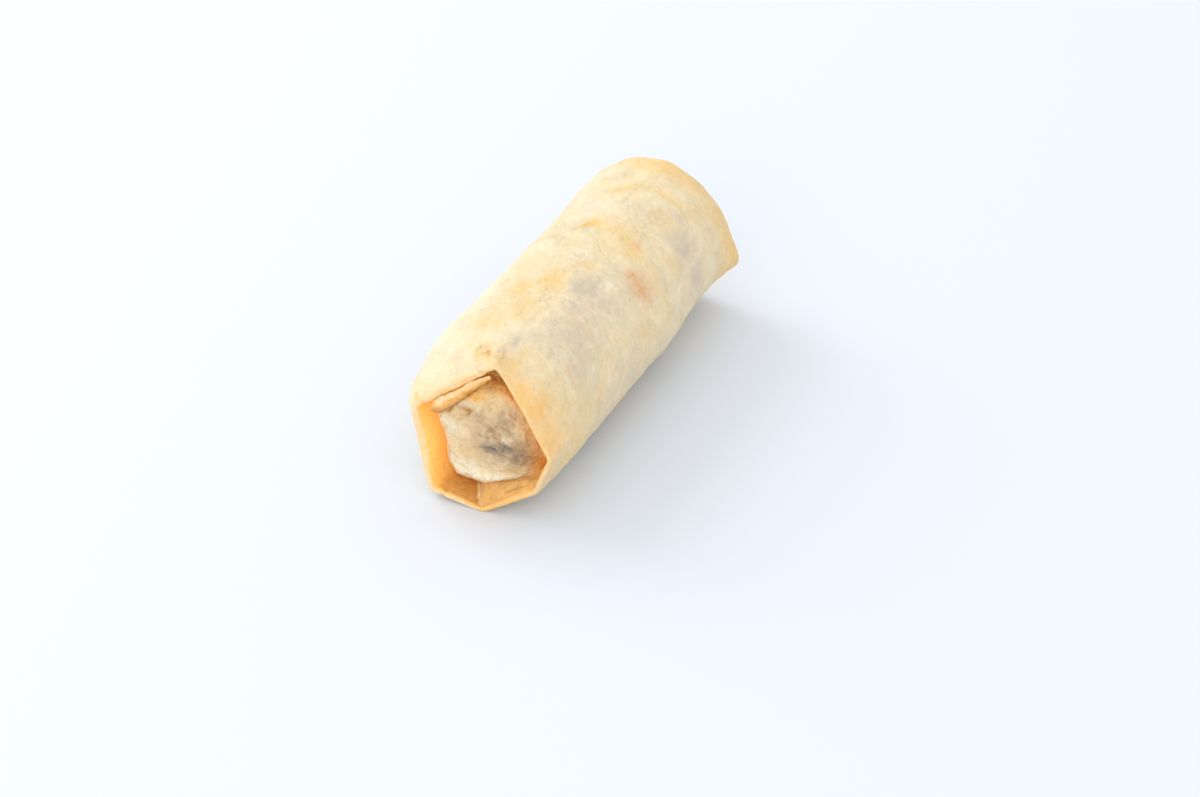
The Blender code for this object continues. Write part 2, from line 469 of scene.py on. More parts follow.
ragged = wavering(0.35, 9, 3) + wavering(0.15, 30, 8)
edge = EDGE_AT + TIP_REACH * bump_at(degrees, 96, 15) + 0.8 * np.sin(2 * theta + 2.4) + ragged
left_of_tip = past(degrees, 97, 2.0)
lifted = bump_at(degrees, 118, 30) * left_of_tip
lifted += 0.6 * bump_at(degrees, 205, 25) + 0.35 * bump_at(degrees, 285, 20)
lifted = np.clip(lifted, 0, 1)
sheet_step = 0.05 + 0.45 * lifted  # how far the turn below lies under the last one
lip_height = 0.55 * lifted  # how far the edge curls up
SHEET = 0.32  # thickness of the lifted sheet
edge_slope = (np.roll(edge, -1) - np.roll(edge, 1)) / (4 * math.pi * HALF_WIDTH / AROUND)
square_to_edge = 1 / np.sqrt(1 + edge_slope**2)  # turns a distance along into one from the slanting edge
print("the edge runs from", round(edge.min(), 1), "to", round(edge.max(), 1), "mm along the roll")

# %% [markdown]
# ## The last turn of the wrapper
#
# This is the main piece: a tube of dough from the floor of the near pocket, up its wall, over the folded
# rim, along the body to the free edge, round that edge and back inside. Its rings follow that path. Small
# features are added as heights on the finished grid: lumps, a crease near the mouth, and ridges that run
# back from the rim's corners where the sheet was pinched.

# %% Rings of the last turn
WALL_ROWS, FOLD_ROWS, BODY_ROWS = 16, 10, 165
NEAR_POCKET = 5.5  # depth of the near cup
WALL_LEAN = 0.5  # how far a cup's wall leans in, from its rim to its floor
UNDER_RIM = 1.9  # a floor is at least this far behind its rim
pocket_floor = np.maximum(NEAR_POCKET, near_back + UNDER_RIM)
wall_foot = ring(near_rim - 2 * near_fold - WALL_LEAN, pocket_floor + 0.4, NEAR_MIDDLE)
wall_top = ring(near_rim - 2 * near_fold, near_start, NEAR_MIDDLE)

rings = [wall_foot] + rows_between(wall_foot, wall_top, WALL_ROWS)
for step in range(1, FOLD_ROWS + 1):
    bend = math.pi * (1 - step / FOLD_ROWS)
    radius = near_rim - near_fold + near_fold * math.cos(bend)
    rings.append(ring(radius, near_start - near_fold * math.sin(bend), NEAR_MIDDLE))
for step in range(1, BODY_ROWS + 1):
    along = near_start + (edge - near_start) * step / BODY_ROWS
    near_edge = np.clip((along - edge + 5) / 5, 0, 1) ** 2
    stuck_down = 0.2 * (1 - lifted) * np.clip(1 - (edge - along) * square_to_edge / 1.6, 0, 1) ** 2
    rings.append(section(along, stuck_down - lip_height * near_edge))
last_turn = np.array(rings)
WALL = slice(0, 1 + WALL_ROWS)
FOLD = slice(1 + WALL_ROWS, 1 + WALL_ROWS + FOLD_ROWS)
OUTSIDE = slice(1 + WALL_ROWS + FOLD_ROWS, len(rings))
print("the last turn has", last_turn.shape[0], "rings")

# %% [markdown]
# ## Creases and pinches
#
# A crease is a line on the skin along which the sheet is raised or sunk. It is given by its two ends, each an
# angle and a distance along the roll, then its half width and its height. A sculptor would draw it with a
# brush. Here every point's distance from the line, measured on the unrolled skin, gives the height there, so
# a crease stays easy to move.

# %% Creases of the last turn
SKIN_CREASES = (
    ((88, 5.0), (90, 9.8), 0.65, 0.6),  # pinched up behind the apex of the mouth
    ((84, 16.2), (101, 16.9), 0.3, 0.22),  # a thin white crease
    ((97, 7.4), (104, 8.6), 0.8, 0.7),
    ((106, 8.8), (111, 9.8), 0.8, 0.5),
    ((101, 5.6), (112, 6.4), 0.5, 0.5),
    ((93, 11.0), (97, 12.6), 0.5, 0.25),
    ((100, 6.2), (152, 2.4), 0.7, -0.2),  # behind the fat fold left of the apex
    ((164, 2.0), (166, 8.0), 0.8, 0.3),
    ((2, 1.5), (4, 9.0), 0.9, 0.25),
    ((-14, 6), (8, 11), 0.7, -0.12),
    ((40, 12), (66, 14.5), 0.6, -0.1),
    ((96, 46.4), (128, 42.6), 0.7, 0.2),  # the lip beside the free edge
    ((70, 38), (98, 41), 0.9, -0.12),
    ((180, 20), (205, 24), 0.8, 0.15),
    ((300, 18), (322, 25), 0.8, -0.15),
)


def ridge(offset, half, width, high, thinning):
    """Height of a line of dough, given each point's offset from its middle and half of its length."""
    along = np.clip(offset @ half / (half @ half), -1, 1)
    away = np.linalg.norm(offset - along[..., None] * half, axis=-1)
    return high * (1 - thinning * along**2) * np.exp(-((away / width) ** 2))


def creased(grid, creases):
    """Height of the listed creases at each point of a skin."""
    height = np.zeros(grid.shape[:2])
    for (angle_a, at_a), (angle_b, at_b), width, high in creases:
        sideways = turn(degrees, (angle_a + angle_b) / 2) * ARC
        from_middle = grid[..., 1] - (at_a + at_b) / 2
        offset = np.stack([np.broadcast_to(sideways, from_middle.shape), from_middle], -1)
        half = np.array([(angle_b - angle_a) * ARC, at_b - at_a]) / 2
        height += ridge(offset, half, width, high, 0.7)
    return height


print(len(SKIN_CREASES), "creases, up to", max(high for *_, high in SKIN_CREASES), "mm high")

# %% [markdown]
# The dough's own lumps come in four sizes, the largest drawn out along the roll, as the sheet was stretched
# that way when it was rolled. Near the rim the skin is smoother, because it is doubled over there. A few fine
# lines between the knuckles at the mouth are sunk, and their depths also colour them later: an oily orange
# that is partly oil and partly painted shade in the creases.

# %% Dough of the last turn
RIM_CREASES = (
    # every crease here is sunk, and its depth is later painted oily orange: partly oil, partly painted shade
    ((156, -0.8), (161, 3.0), 0.5, -0.13),  # where the rim's fold turns at the left corner
    ((95, 6.2), (98, 9.6), 0.35, -0.09),  # oily lines between the knuckles above the apex
    ((106, 7.0), (109, 8.6), 0.35, -0.08),
    ((98, 9.6), (104, 10.6), 0.35, -0.07),
    ((200, -1.5), (201, 1.0), 0.5, -0.15),
    ((241, -2.0), (240, 1.0), 0.4, -0.2),
)


def uneven(grid, layers):
    """Heights of lumps of several sizes. Each layer is a height, a size and a seed."""
    return sum(high * lumps(grid, size, seed) for high, size, seed in layers)


def dough(grid):
    """Heights of the dough's own unevenness."""
    stretched = grid * np.array([1.0, 0.55, 1.0])
    return 0.22 * lumps(stretched, 6.5, 1) + uneven(grid, ((0.09, 2.6, 2), (0.045, 1.1, 3), (0.02, 0.55, 4)))


away_from_rim = np.clip((last_turn[..., 1] - near_start) / 3, 0, 1)
away_from_rim[: OUTSIDE.start] = 0
rim_creases = creased(last_turn, RIM_CREASES)
height = dough(last_turn) * (0.25 + 0.75 * away_from_rim) + rim_creases
height += creased(last_turn, SKIN_CREASES) * (away_from_rim > 0)
last_turn = pushed(last_turn, height)
print("dough between", round(height.min(), 2), "and", round(height.max(), 2), "mm")

# %% [markdown]
# The tube is closed by rounding the free edge, running back under the lip, and then inside to where the
# rings began. The hidden return has few rings, because nobody sees it.

# %% Closing the last turn
top_of_edge = last_turn[-1]
inwards = np.column_stack([-np.cos(theta), np.zeros(AROUND), -np.sin(theta)])
closing = []
for share in (0.25, 0.6, 1.0):
    forward = 0.1 * math.sin(math.pi * share)
    closing.append(top_of_edge + inwards * SHEET * share + np.array([0, forward, 0]))
for back in (0.8, 1.8, 3.0, 4.5):
    raised = lip_height * np.clip((5 - back) / 5, 0, 1) ** 2
    closing.append(section(edge - back) + inwards * (SHEET + 0.15 - raised)[:, None])
closing += rows_between(closing[-1] + inwards * 1.5, wall_foot + inwards * -1.0, 6)
last_turn_full = pressed_flat(np.concatenate([last_turn, np.array(closing)]))
print("closed with", len(closing), "more rings")

# %% [markdown]
# ## Oil, browning and light at the mouth
#
# Where the sheet is folded over at the mouth, hot oil reached both of its sides. It soaked the inside of
# the cup a deep translucent orange, and left an orange band beside the thin edge on the right, while the
# fat fold on the left stayed pale. One mask holds all of this, and it may be over 1, so that the inside of
# the cup stays orange where noise frays it.

# %% Oil of the last turn, and painted shade in its creases
rows = last_turn_full.shape[0]
masks = skin_patches(last_turn_full)
into_cup = np.linspace(1, 0, FOLD_ROWS)[:, None]  # over the fold: 1 at the wall, 0 at the body
down_wall = np.linspace(1, 0, WALL_ROWS + 1)[:, None]
from_rim = np.maximum(last_turn_full[..., 1] - near_start, 0)
band_width = (1.2 + 3.0 * bump_at(degrees, 30, 50)) * (1 - 0.35 * bump_at(degrees, 125, 30))
soaked = 0.12 + 0.6 * bump_at(degrees, 25, 50) + 0.4 * bump_at(degrees, 118, 30)
soaked = soaked * np.exp(-((from_rim / band_width) ** 2))
soaked *= 1 + 0.35 * lumps(last_turn_full, 3.0, 51) + 0.2 * lumps(last_turn_full, 1.2, 52)
soaked[WALL] = np.maximum(soaked[WALL], 1.7 * np.maximum(down_wall**0.5, 0.75))
soaked[FOLD] = np.maximum(soaked[FOLD], 1.5 * into_cup**5)
soaked = np.clip(soaked, 0, 1.7)
# the fine creases are painted orange by their depth: partly oil, partly painted shade
oil_and_shade_in_creases = np.clip(-6.0 * rim_creases, 0, 1)
soaked[: len(height)] = np.maximum(soaked[: len(height)], oil_and_shade_in_creases)
masks["soaked"] = soaked
print("oil at its strongest:", round(float(soaked.max()), 2))

# %% [markdown]
# Browning follows the crests of folds and the free edge, and it covers the wall below, which lay nearest to
# the pan. The wall of the cup is also painted darker the deeper it goes, most of all at the back under the
# mouth's peak: that is painted shade in the cup, kept in the browning mask.

# %% Browning and painted shade of the last turn
# painted shade: the cup's wall darkens towards its foot, most under the mouth's peak
shade_deep_in_cup = np.zeros((rows, AROUND))
shade_deep_in_cup[WALL] = np.linspace(1, 0.1, WALL_ROWS + 1)[:, None]
shade_deep_in_cup *= 0.15 + 0.3 * bump_at(degrees, 250, 28) + 2.2 * bump_at(degrees, 94, 28)
at_bottom = past(degrees, 234, 1.6) * (1 - past(degrees, 300, 4))
before_edge = np.maximum(edge - last_turn_full[..., 1], 0)
browned = 0.35 * lifted * np.exp(-((before_edge / 0.4) ** 2))
browned[: len(height)] += 0.15 * np.clip((height - 0.25) * 2, 0, 1)
browned = np.clip(np.clip(browned, 0, 1) + 0.8 * shade_deep_in_cup, 0, 1.6)
browned[WALL] += 0.55 * at_bottom
masks["browned"] = browned
print("browning at its strongest:", round(float(browned.max()), 2))

# %% [markdown]
# Daylight shines through the thin walls of the cup, so their inside is brighter than shade alone would leave
# it. Real translucency needs a thin open sheet, and these walls are backed by the roll. A faint glow on them
# stands for that light, and it fades where the cup is deep. The flap that is tucked over the lower rim is
# darker with oil, and it ends at a clean line on its left.

# %% Light through the rim
glow = np.zeros((rows, AROUND))
glow[WALL] = 1.0
glow[FOLD] = 0.6 * into_cup**6
glow *= (1 - 0.9 * np.minimum(shade_deep_in_cup, 1)) * (1 - 0.9 * at_bottom)
light_through_left_rim = bump_at(degrees, 205, 42)
glow[FOLD] += 0.3 * light_through_left_rim
glow[OUTSIDE] += 0.2 * light_through_left_rim * np.exp(-((from_rim[OUTSIDE] / 2.5) ** 2))
masks["glow"] = glow
over_rim = past(degrees, 270.5, 0.7) * (1 - past(degrees, 322, 3))
# painted light: the thin left rim also gets more of the soaked orange, for light that shines through it
masks["soaked"][FOLD] = np.maximum(soaked[FOLD], 0.75 * over_rim) + 0.22 * light_through_left_rim
masks["golden"][FOLD] = np.maximum(masks["golden"][FOLD], 0.7 * over_rim)
print("the flap covers", round(float(over_rim.mean()) * 360), "degrees of the rim")

# %% [markdown]
# Blisters come in fields, so their mask is soft noise too. The inside of the cup and the fold have none,
# because the steam could get out there.

# %% The last turn as a mesh
masks["blistered"] = np.zeros((rows, AROUND))
masks["blistered"][OUTSIDE] = 0.35 + 0.65 * np.clip(lumps(last_turn_full[OUTSIDE], 7, 61) + 0.3, 0, 1)
last_turn_piece = mesh_of_rings("wrapper_last_turn", last_turn_full, masks, joined=True)

# %% [markdown]
# ## The turn below
#
# Beyond the free edge the turn below carries on to the far end. It starts a little way inside, under the
# lip, so no gap opens, and it ends in the far rim's fold and the wall of the far pocket. Faint creases run
# round it near the rim, where the sheet was gathered before it was tucked in.

# %% Creases of the turn below
FAR_CREASES = (
    ((40, 68.0), (84, 69.4), 0.8, -0.3),
    ((46, 63.8), (90, 65.2), 0.9, -0.3),
    ((84, 64.6), (116, 62.4), 0.9, -0.26),
    ((56, 66.2), (94, 67.4), 0.9, 0.2),
    ((94, 68.2), (124, 67.0), 0.8, -0.22),
    ((28, 61.0), (54, 62.8), 1.0, -0.2),
    ((5, 65.5), (34, 66.0), 1.1, -0.2),
    ((8, 61), (30, 59), 1.2, 0.18),
    ((-20, 63), (2, 66), 1.0, 0.2),
    ((118, 66), (142, 68), 0.9, 0.2),
    ((180, 62), (220, 64), 0.8, -0.2),
    ((240, 66), (275, 68), 0.8, 0.2),
    ((150, 60), (152, 70), 0.8, 0.25),
)
print(len(FAR_CREASES), "creases near the far rim")

# %% [markdown]
# Its rings are made like those of the last turn, but they run the other way: from under the lip, along the
# body, over the far rim's fold and down the wall of the cup behind it.

# %% Rings of the turn below
FAR_ROWS, FAR_WALL_ROWS = 105, 12
FAR_POCKET = 4.5  # depth of the far cup
far_depth = np.maximum(FAR_POCKET, far_back + UNDER_RIM)
far_wall = far_rim - 2 * far_fold - WALL_LEAN
start_inside = edge - 4.0
rings = []
for step in range(FAR_ROWS + 1):
    along = start_inside + (far_start - start_inside) * step / FAR_ROWS
    rings.append(section(along, sheet_step + 0.12 * np.clip(edge - along, 0, 1)))
for step in range(1, FOLD_ROWS + 1):
    bend = math.pi * step / FOLD_ROWS
    radius = far_rim - far_fold + far_fold * math.cos(bend)
    rings.append(ring(radius, far_start + far_fold * math.sin(bend), FAR_MIDDLE))
far_wall_top = ring(far_rim - 2 * far_fold, far_start, FAR_MIDDLE)
rings += rows_between(far_wall_top, ring(far_wall, LENGTH - far_depth, FAR_MIDDLE), FAR_WALL_ROWS)
turn_below = np.array(rings)
FAR_OUTSIDE = slice(0, FAR_ROWS + 1)
FAR_FOLD = slice(FAR_OUTSIDE.stop, FAR_OUTSIDE.stop + FOLD_ROWS)
FAR_WALL = slice(FAR_FOLD.stop, len(turn_below))
print("the turn below has", len(turn_below), "rings")

# %% [markdown]
# The same dough and creases shape it, and a coarse return under the skin closes the tube.

# %% Dough of the turn below
steadiness = np.clip((far_start - turn_below[..., 1]) / 3, 0.3, 1)
steadiness[FAR_OUTSIDE.stop :] = 0.25
far_height = dough(turn_below) * steadiness
far_height[FAR_OUTSIDE] += creased(turn_below[FAR_OUTSIDE], FAR_CREASES)
turn_below = pushed(turn_below, far_height)
closing = rows_between(turn_below[-1] - inwards * 1.0, turn_below[0] + inwards * 2.0, 5)
turn_below_full = pressed_flat(np.concatenate([turn_below, np.array(closing)]))
print("dough between", round(far_height.min(), 2), "and", round(far_height.max(), 2), "mm")

# %% [markdown]
# Oil collects in the gap under the lifted edge, and the lip shades it, so the orange band there is partly oil
# and partly painted shadow. The band is widest beside the sheet's tip. Beyond the band the skin is golden,
# because the lifted sheet held hot oil against it.

# %% Oil and painted shadow of the turn below
rows = turn_below_full.shape[0]
masks = skin_patches(turn_below_full)
past_edge = np.maximum((turn_below_full[..., 1] - edge) * square_to_edge, 0)
band = 1.5 + 1.1 * bump_at(degrees, 101, 9)
at_tip = 0.5 * bump_at(degrees, 104, 15) + 0.35 * bump_at(degrees, 101, 5)
# painted shadow and oil: an orange band just past the free edge, under the lifted lip
oil_and_shadow_in_gap = (0.6 * lifted + at_tip * left_of_tip) * (1 - past(past_edge, band, 0.3))
soaked = np.zeros((rows, AROUND))
soaked[FAR_WALL] = 0.7
soaked[FAR_FOLD] = 0.6 * np.linspace(0, 1, FOLD_ROWS)[:, None] ** 3
masks["soaked"] = np.clip(soaked + oil_and_shadow_in_gap * (1 + 0.3 * lumps(turn_below_full, 1.5, 73)), 0, 1.2)
masks["glow"] = np.clip(soaked * 1.3 - 0.3, 0, 1)
beside_gap = np.exp(-((past_edge / 3.0) ** 2)) * (0.5 * lifted + 0.8 * bump_at(degrees, 98, 10))
print("the oily band is up to", round(float(band.max()), 1), "mm wide")

# %% [markdown]
# The far rim is golden too, most of all on its right, and the creases behind it hold colour. Its crest is
# a little brown.

# %% The turn below as a mesh
at_far_rim = np.exp(-((np.maximum(far_start - turn_below_full[..., 1], 0) / 2.4) ** 2))
at_far_rim *= 0.45 + 0.3 * bump_at(degrees, 85, 30) + 0.45 * bump_at(degrees, 355, 35)
at_far_rim *= 1 + 0.4 * lumps(turn_below_full, 1.5, 71)
sunken = np.zeros((rows, AROUND))
sunken[: len(far_height)] = np.clip(-far_height * 1.6 - 0.2, 0, 1)
masks["golden"] = np.clip(masks["golden"] + at_far_rim + beside_gap + 0.7 * sunken, 0, 1)
rim_crest = np.zeros((rows, AROUND))
rim_crest[FAR_ROWS - 6 : FAR_ROWS + FOLD_ROWS] = 0.08
masks["browned"] = np.clip(0.15 * sunken + rim_crest * (1 + 0.6 * lumps(turn_below_full, 2.0, 72)), 0, 1)
fields = np.clip(lumps(turn_below_full[6:FAR_ROWS], 7, 62) + 0.2, 0, 1)
masks["blistered"] = np.zeros((rows, AROUND))
masks["blistered"][6:FAR_ROWS] = 0.25 + 0.6 * fields
turn_below_piece = mesh_of_rings("wrapper_turn_below", turn_below_full, masks, joined=True)

# %% [markdown]
# ## The wrapped filling in the mouth
#
# Inside each cup the filling, wrapped in the turns below, bulges up like a small cushion. It is a dome
# whose foot meets the pocket's floor. At the bottom right of the near mouth a side of the sheet has been
# tucked flat across it: there the dome is cut down to a shallow flap. Its skin is closer to the filling
# than anywhere else, so it is pebbly and shows brown, grey and nearly black.

# %% Rings of a bulge
def superdome(share, fullness):
    """Height of a dome at a share of its radius: 1 in the middle, 0 at its foot."""
    return (1 - np.minimum(share, 1) ** fullness) ** 0.5


def bulge_rings(wall_radius, floor, top, size, offset, shrunk, fullness=2.8, count=70):
    """Radii and depths of a dome's rings, from its middle out to beyond its foot."""
    foot = offset * np.cos(theta) + np.sqrt(size**2 - (offset * np.sin(theta)) ** 2) - shrunk
    foot = np.minimum(foot, wall_radius - 0.4)
    depths, radii = [], []
    for share in np.sin(np.linspace(0.02, 1, count) * math.pi / 2):
        radii.append(foot * share)
        depths.append(floor + (top - floor) * superdome(share, fullness))
    for share in (0.4, 1.0):
        radii.append(foot + (wall_radius + 1.0 - foot) * share)
        depths.append(floor)
    return np.array(radii), np.array(depths)


def tucked(depths, ceiling):
    """Depths held back by a flap's own depth, with a soft corner between the two."""
    return -0.3 * np.logaddexp(-depths / 0.3, -ceiling / 0.3)


print("half way out, a full dome keeps", round(superdome(0.5, 2.8), 2), "of its height")

# %% [markdown]
# The near bulge sits low in its cup, a little short of the mouth's apex and fuller at the bottom. The flap is
# given by two straight lines across the mouth, its top edge and its left edge. Where both are passed, the
# dome is held down to the flap's depth.

# %% Near bulge
FLAP_TOP = ((-1.0, -9.3), (-0.342, 0.940))  # a point of the flap's top edge, and the way off the flap
FLAP_LEFT = ((-0.7, -9.8), (-0.962, -0.274))


def beyond(edge_line, x, z):
    """Distance from a straight edge of the flap, more than 0 where the flap has ended."""
    (edge_x, edge_z), (off_x, off_z) = edge_line
    return (x - edge_x) * off_x + (z - edge_z) * off_z


near_wall = near_rim - 2 * near_fold - WALL_LEAN
short_of_apex = 2.0 * bump_at(degrees, 84, 30) - 1.3 * bump_at(degrees, 252, 42)
fuller_below = 2.8 + 1.4 * bump_at(degrees, 252, 45)
radii, depths = bulge_rings(near_wall, pocket_floor, -0.2, 11.0, 1.0, short_of_apex, fuller_below, count=84)
across, upwards = radii * np.cos(theta), radii * np.sin(theta)
above_flap = beyond(FLAP_TOP, across, upwards)
left_of_flap = beyond(FLAP_LEFT, across, upwards)
off_flap = np.maximum(np.maximum(above_flap, left_of_flap), 0)
leaning_in = 0.7 * np.clip(near_rim - near_fold - radii, 0, 4)
ceiling = near_back + 0.1 + leaning_in + 2.5 * off_flap + 2.5 * np.maximum(above_flap, 0)
depths = tucked(depths, ceiling)
near_bulge = np.array([ring(r, d, NEAR_MIDDLE) for r, d in zip(radii, depths)])
on_flap = np.clip(1 - off_flap / 0.35, 0, 1)
print("the flap covers", round(float(on_flap.mean()) * 100), "percent of the bulge's grid")

# %% [markdown]
# The pebbles and short folds on the bulge are heights again, this time listed by their place across the
# mouth: x and z of both ends, from its middle.

# %% Pebbles and folds of the bulge
BULGE_FOLDS = (
    ((-4.6, 3.7), (-1.5, 5.8), 0.5, -0.85),
    ((-0.9, 5.0), (-0.2, 6.8), 0.5, 0.45),
    ((-5.6, 4.6), (-2.4, 6.9), 0.5, 0.35),
    ((-5.2, 2.2), (-1.0, 4.4), 0.7, 0.45),
    ((3.0, 6.5), (7.5, 2.0), 0.8, 0.3),
    ((-7.2, -4.5), (-3.0, -8.0), 0.6, 0.2),
    ((-3.0, -6.9), (6.5, -6.4), 0.75, 0.5),
    ((-2.0, -5.5), (5.0, -5.0), 0.55, -0.35),
    ((1.8, -0.9), (4.6, 0.2), 0.7, -0.3),
    ((6.5, -4.0), (9.0, -1.0), 0.6, -0.3),
)


def folds_across(grid, folds, middle):
    """Height of the listed folds on a bulge."""
    flat = grid[..., [0, 2]] - np.array(middle)
    height = np.zeros(grid.shape[:2])
    for end_a, end_b, width, high in folds:
        end_a, end_b = np.array(end_a), np.array(end_b)
        height += ridge(flat - (end_a + end_b) / 2, (end_b - end_a) / 2, width, high, 0.6)
    return height


print(len(BULGE_FOLDS), "folds on the near bulge")

# %% [markdown]
# Pebbles in four sizes cover the bulge. They are fainter on the flap, which is a plain double sheet, and on
# the dome's steep flanks. The flap's left edge is turned under, so a small roll runs along it.

# %% Dough of the near bulge
pebbles = uneven(near_bulge, ((0.3, 3.6, 5), (0.16, 1.5, 6), (0.13, 0.75, 7), (0.07, 0.42, 8)))
plain = 1 - 0.9 * np.clip(1.3 - off_flap, 0, 1)
plain *= 0.2 + 0.8 * np.abs(outward(near_bulge)[..., 1]) ** 1.5
height = pebbles * plain + folds_across(near_bulge, BULGE_FOLDS, NEAR_MIDDLE) * (1 - on_flap)
turned_under = np.exp(-(((left_of_flap + 0.3) / 0.38) ** 2)) * (above_flap < 0.2)
height += 0.45 * turned_under
height[-3:] = 0
near_bulge = pushed(near_bulge, height)
hidden_back = [ring((near_wall + 0.6) * s, pocket_floor + 1.2, NEAR_MIDDLE) for s in (1.0, 0.6, 0.2)]
near_bulge_full = np.concatenate([near_bulge, np.array(hidden_back)])
print("pebbles between", round(height.min(), 2), "and", round(height.max(), 2), "mm")

# %% [markdown]
# Its colours are spots too: the filling's nearly black fleck, brown and grey round it, a pale lower edge, and
# orange where oil gathers in the folds. Some of them are painted light and shade: the cream on the left and
# along the lower edge is painted light, and the dark, brown and orange spots under the mouth's peak, the
# orange beside the pleat, and the brown in the groove below it and along the right edge are painted shade,
# partly also oil and browning.

# %% Spots across a mouth
def spots_across(grid, listed, middle, fray, seed):
    """How strongly each point of a bulge is inside one of the spots, given as x, z, sizes and strength."""
    frayed = lumps(grid, 1.8, seed) * fray + lumps(grid, 0.7, seed + 1) * fray * 0.6
    strength = np.zeros(grid.shape[:2])
    for x, z, wide, tall, most in listed:
        away = ((grid[..., 0] - middle[0] - x) / wide) ** 2 + ((grid[..., 2] - middle[1] - z) / tall) ** 2
        strength = np.maximum(strength, most * np.exp(-away) * (1 + frayed))
    return np.clip(strength, 0, 1.5)


def masks_across(grid, spots_by_kind, middle, fray, seed):
    """The masks of a bulge, from its spots of each kind. Each kind frays in its own way."""
    return {
        kind: spots_across(grid, listed, middle, fray, seed + 7 * step)
        for step, (kind, listed) in enumerate(spots_by_kind.items())
    }


NEAR_BULGE_SPOTS_WITH_LIGHT_AND_SHADE = {
    "filling": ((2.4, 2.6, 3.4, 3.2, 0.8), (7.4, -1.0, 2.8, 3.6, 1.4), (0.5, 4.9, 2.6, 2.0, 0.6),
                (4.8, 4.5, 3.0, 3.2, 0.75), (3.0, -0.4, 4.0, 2.6, 1.0), (-3.2, 5.0, 1.6, 0.8, 0.6)),
    # dark: the filling's flecks; the one at 1.8, 10.6 is painted shade under the mouth's peak
    "dark": ((2.8, -0.4, 1.9, 1.05, 1.0), (4.6, 0.2, 1.3, 0.9, 0.8), (7.4, -1.8, 2.0, 1.4, 0.45),
             (1.8, 10.6, 2.0, 0.8, 0.6)),
    # cream: pale dough; on the left and along the lower edge it is painted light
    "cream": ((-6.0, 1.6, 2.4, 2.6, 1.0), (-6.0, -2.0, 2.0, 2.6, 0.8), (-2.5, -6.2, 3.4, 2.0, 1.4),
              (2.5, -7.0, 5.0, 1.6, 1.5), (-0.7, 6.6, 0.7, 0.8, 0.9), (2.4, -0.9, 0.5, 0.3, 1.2)),
    "golden": ((-5.5, 4.0, 2.5, 1.2, 0.6), (-0.5, 7.6, 2.5, 1.2, 0.7), (-3.0, -2.0, 2.2, 2.2, 0.35),
               (5.0, -4.8, 3.0, 1.0, 0.6)),
    # soaked: oil, and painted shade under the mouth's peak and beside the pleat
    "soaked": ((1.5, 9.4, 3.2, 1.1, 1.5), (-2.8, 7.6, 3.0, 0.8, 1.2)),
    # browned: painted shade under the mouth's peak, along the right edge and in the groove below the pleat,
    # partly browning
    "browned": ((1.4, 10.0, 3.0, 1.5, 1.6), (9.0, -1.0, 1.6, 4.0, 0.7), (-3.0, 4.8, 1.3, 0.5, 0.6)),
}
masks = masks_across(near_bulge_full, NEAR_BULGE_SPOTS_WITH_LIGHT_AND_SHADE, NEAR_MIDDLE, 0.45, 81)
print("kinds of spots on the near bulge:", ", ".join(masks))

# %% [markdown]
# The bulge's foot is oily, like the wall that it meets. The flap has a colour of its own, an even oily gold
# with a brown seam, so the spots stop at its edge.

# %% The near bulge as a mesh
def over_full_grid(values):
    """Values of the visible rings, with zeros for the hidden ones behind them."""
    full = np.zeros(near_bulge_full.shape[:2])
    full[: len(values)] = values
    return full


outer_share = over_full_grid(np.clip((radii / near_wall - 0.86) / 0.14, 0, 1))
flap_mask = over_full_grid(on_flap)
fold_mask = over_full_grid(turned_under)
seam_of_flap = over_full_grid(4 * on_flap * (1 - on_flap))
masks["soaked"] = np.clip(np.maximum(masks["soaked"], 1.5 * outer_share * (1 - flap_mask)), 0, 1.5)
masks["soaked"] += np.clip(flap_mask - fold_mask, 0, 1)
for kind in ("filling", "cream", "golden"):
    masks[kind] *= 1 - flap_mask
masks["golden"] += 0.7 * flap_mask
masks["cream"] += 0.8 * fold_mask
masks["browned"] += 0.45 * seam_of_flap + 0.5 * flap_mask * (1 + 0.6 * lumps(near_bulge_full, 2, 91))
masks["glow"] = 0.3 * outer_share * (1 - bump_at(degrees, 60, 60))
near_bulge_piece = mesh_of_rings("bulge_in_near_mouth", near_bulge_full, masks, joined=False)

# %% [markdown]
# The far end has a cup and a bulge like the near one's, with its own tuck and a single pleat. Its rings are
# built the other way round, from the foot to the middle, so that its faces look along +Y.

# %% Bulge of the far end
FAR_PEBBLES = ((0.3, 3.6, 15), (0.14, 1.5, 16), (0.07, 0.75, 17))  # height, size and seed
FAR_FOLDS = (
    ((-4.0, -7.5), (0.5, -2.0), 0.6, -0.6),
    ((-5.0, -6.5), (-0.5, -1.2), 0.5, 0.4),
    ((-7.5, 1.0), (-3.0, 5.5), 0.6, 0.35),
    ((2.0, 3.0), (7.5, 1.0), 0.7, 0.3),
)
far_flap_side = np.abs(turn(degrees, 127)) - 33
radii, depths = bulge_rings(far_wall, far_depth - 0.3, 0.6, 10.5, -1.0, 0, count=60)
depths = tucked(depths, far_back + 1.4 + np.maximum(far_flap_side, 0) * 1.6)
far_bulge = np.array([ring(r, LENGTH - d, FAR_MIDDLE) for r, d in zip(radii, depths)])[::-1]
height = uneven(far_bulge, FAR_PEBBLES) + folds_across(far_bulge, FAR_FOLDS, FAR_MIDDLE)
height[:3] = 0
far_bulge = pushed(far_bulge, height)
behind = LENGTH - far_depth - 0.9
hidden_back = [ring((far_wall + 0.6) * s, behind, FAR_MIDDLE) for s in (0.2, 0.6, 1.0)]
far_bulge_full = np.concatenate([np.array(hidden_back), far_bulge])
print("the far bulge has", len(far_bulge), "rings")

# %% [markdown]
# Its spots are fewer, and its oily foot comes first in the grid.

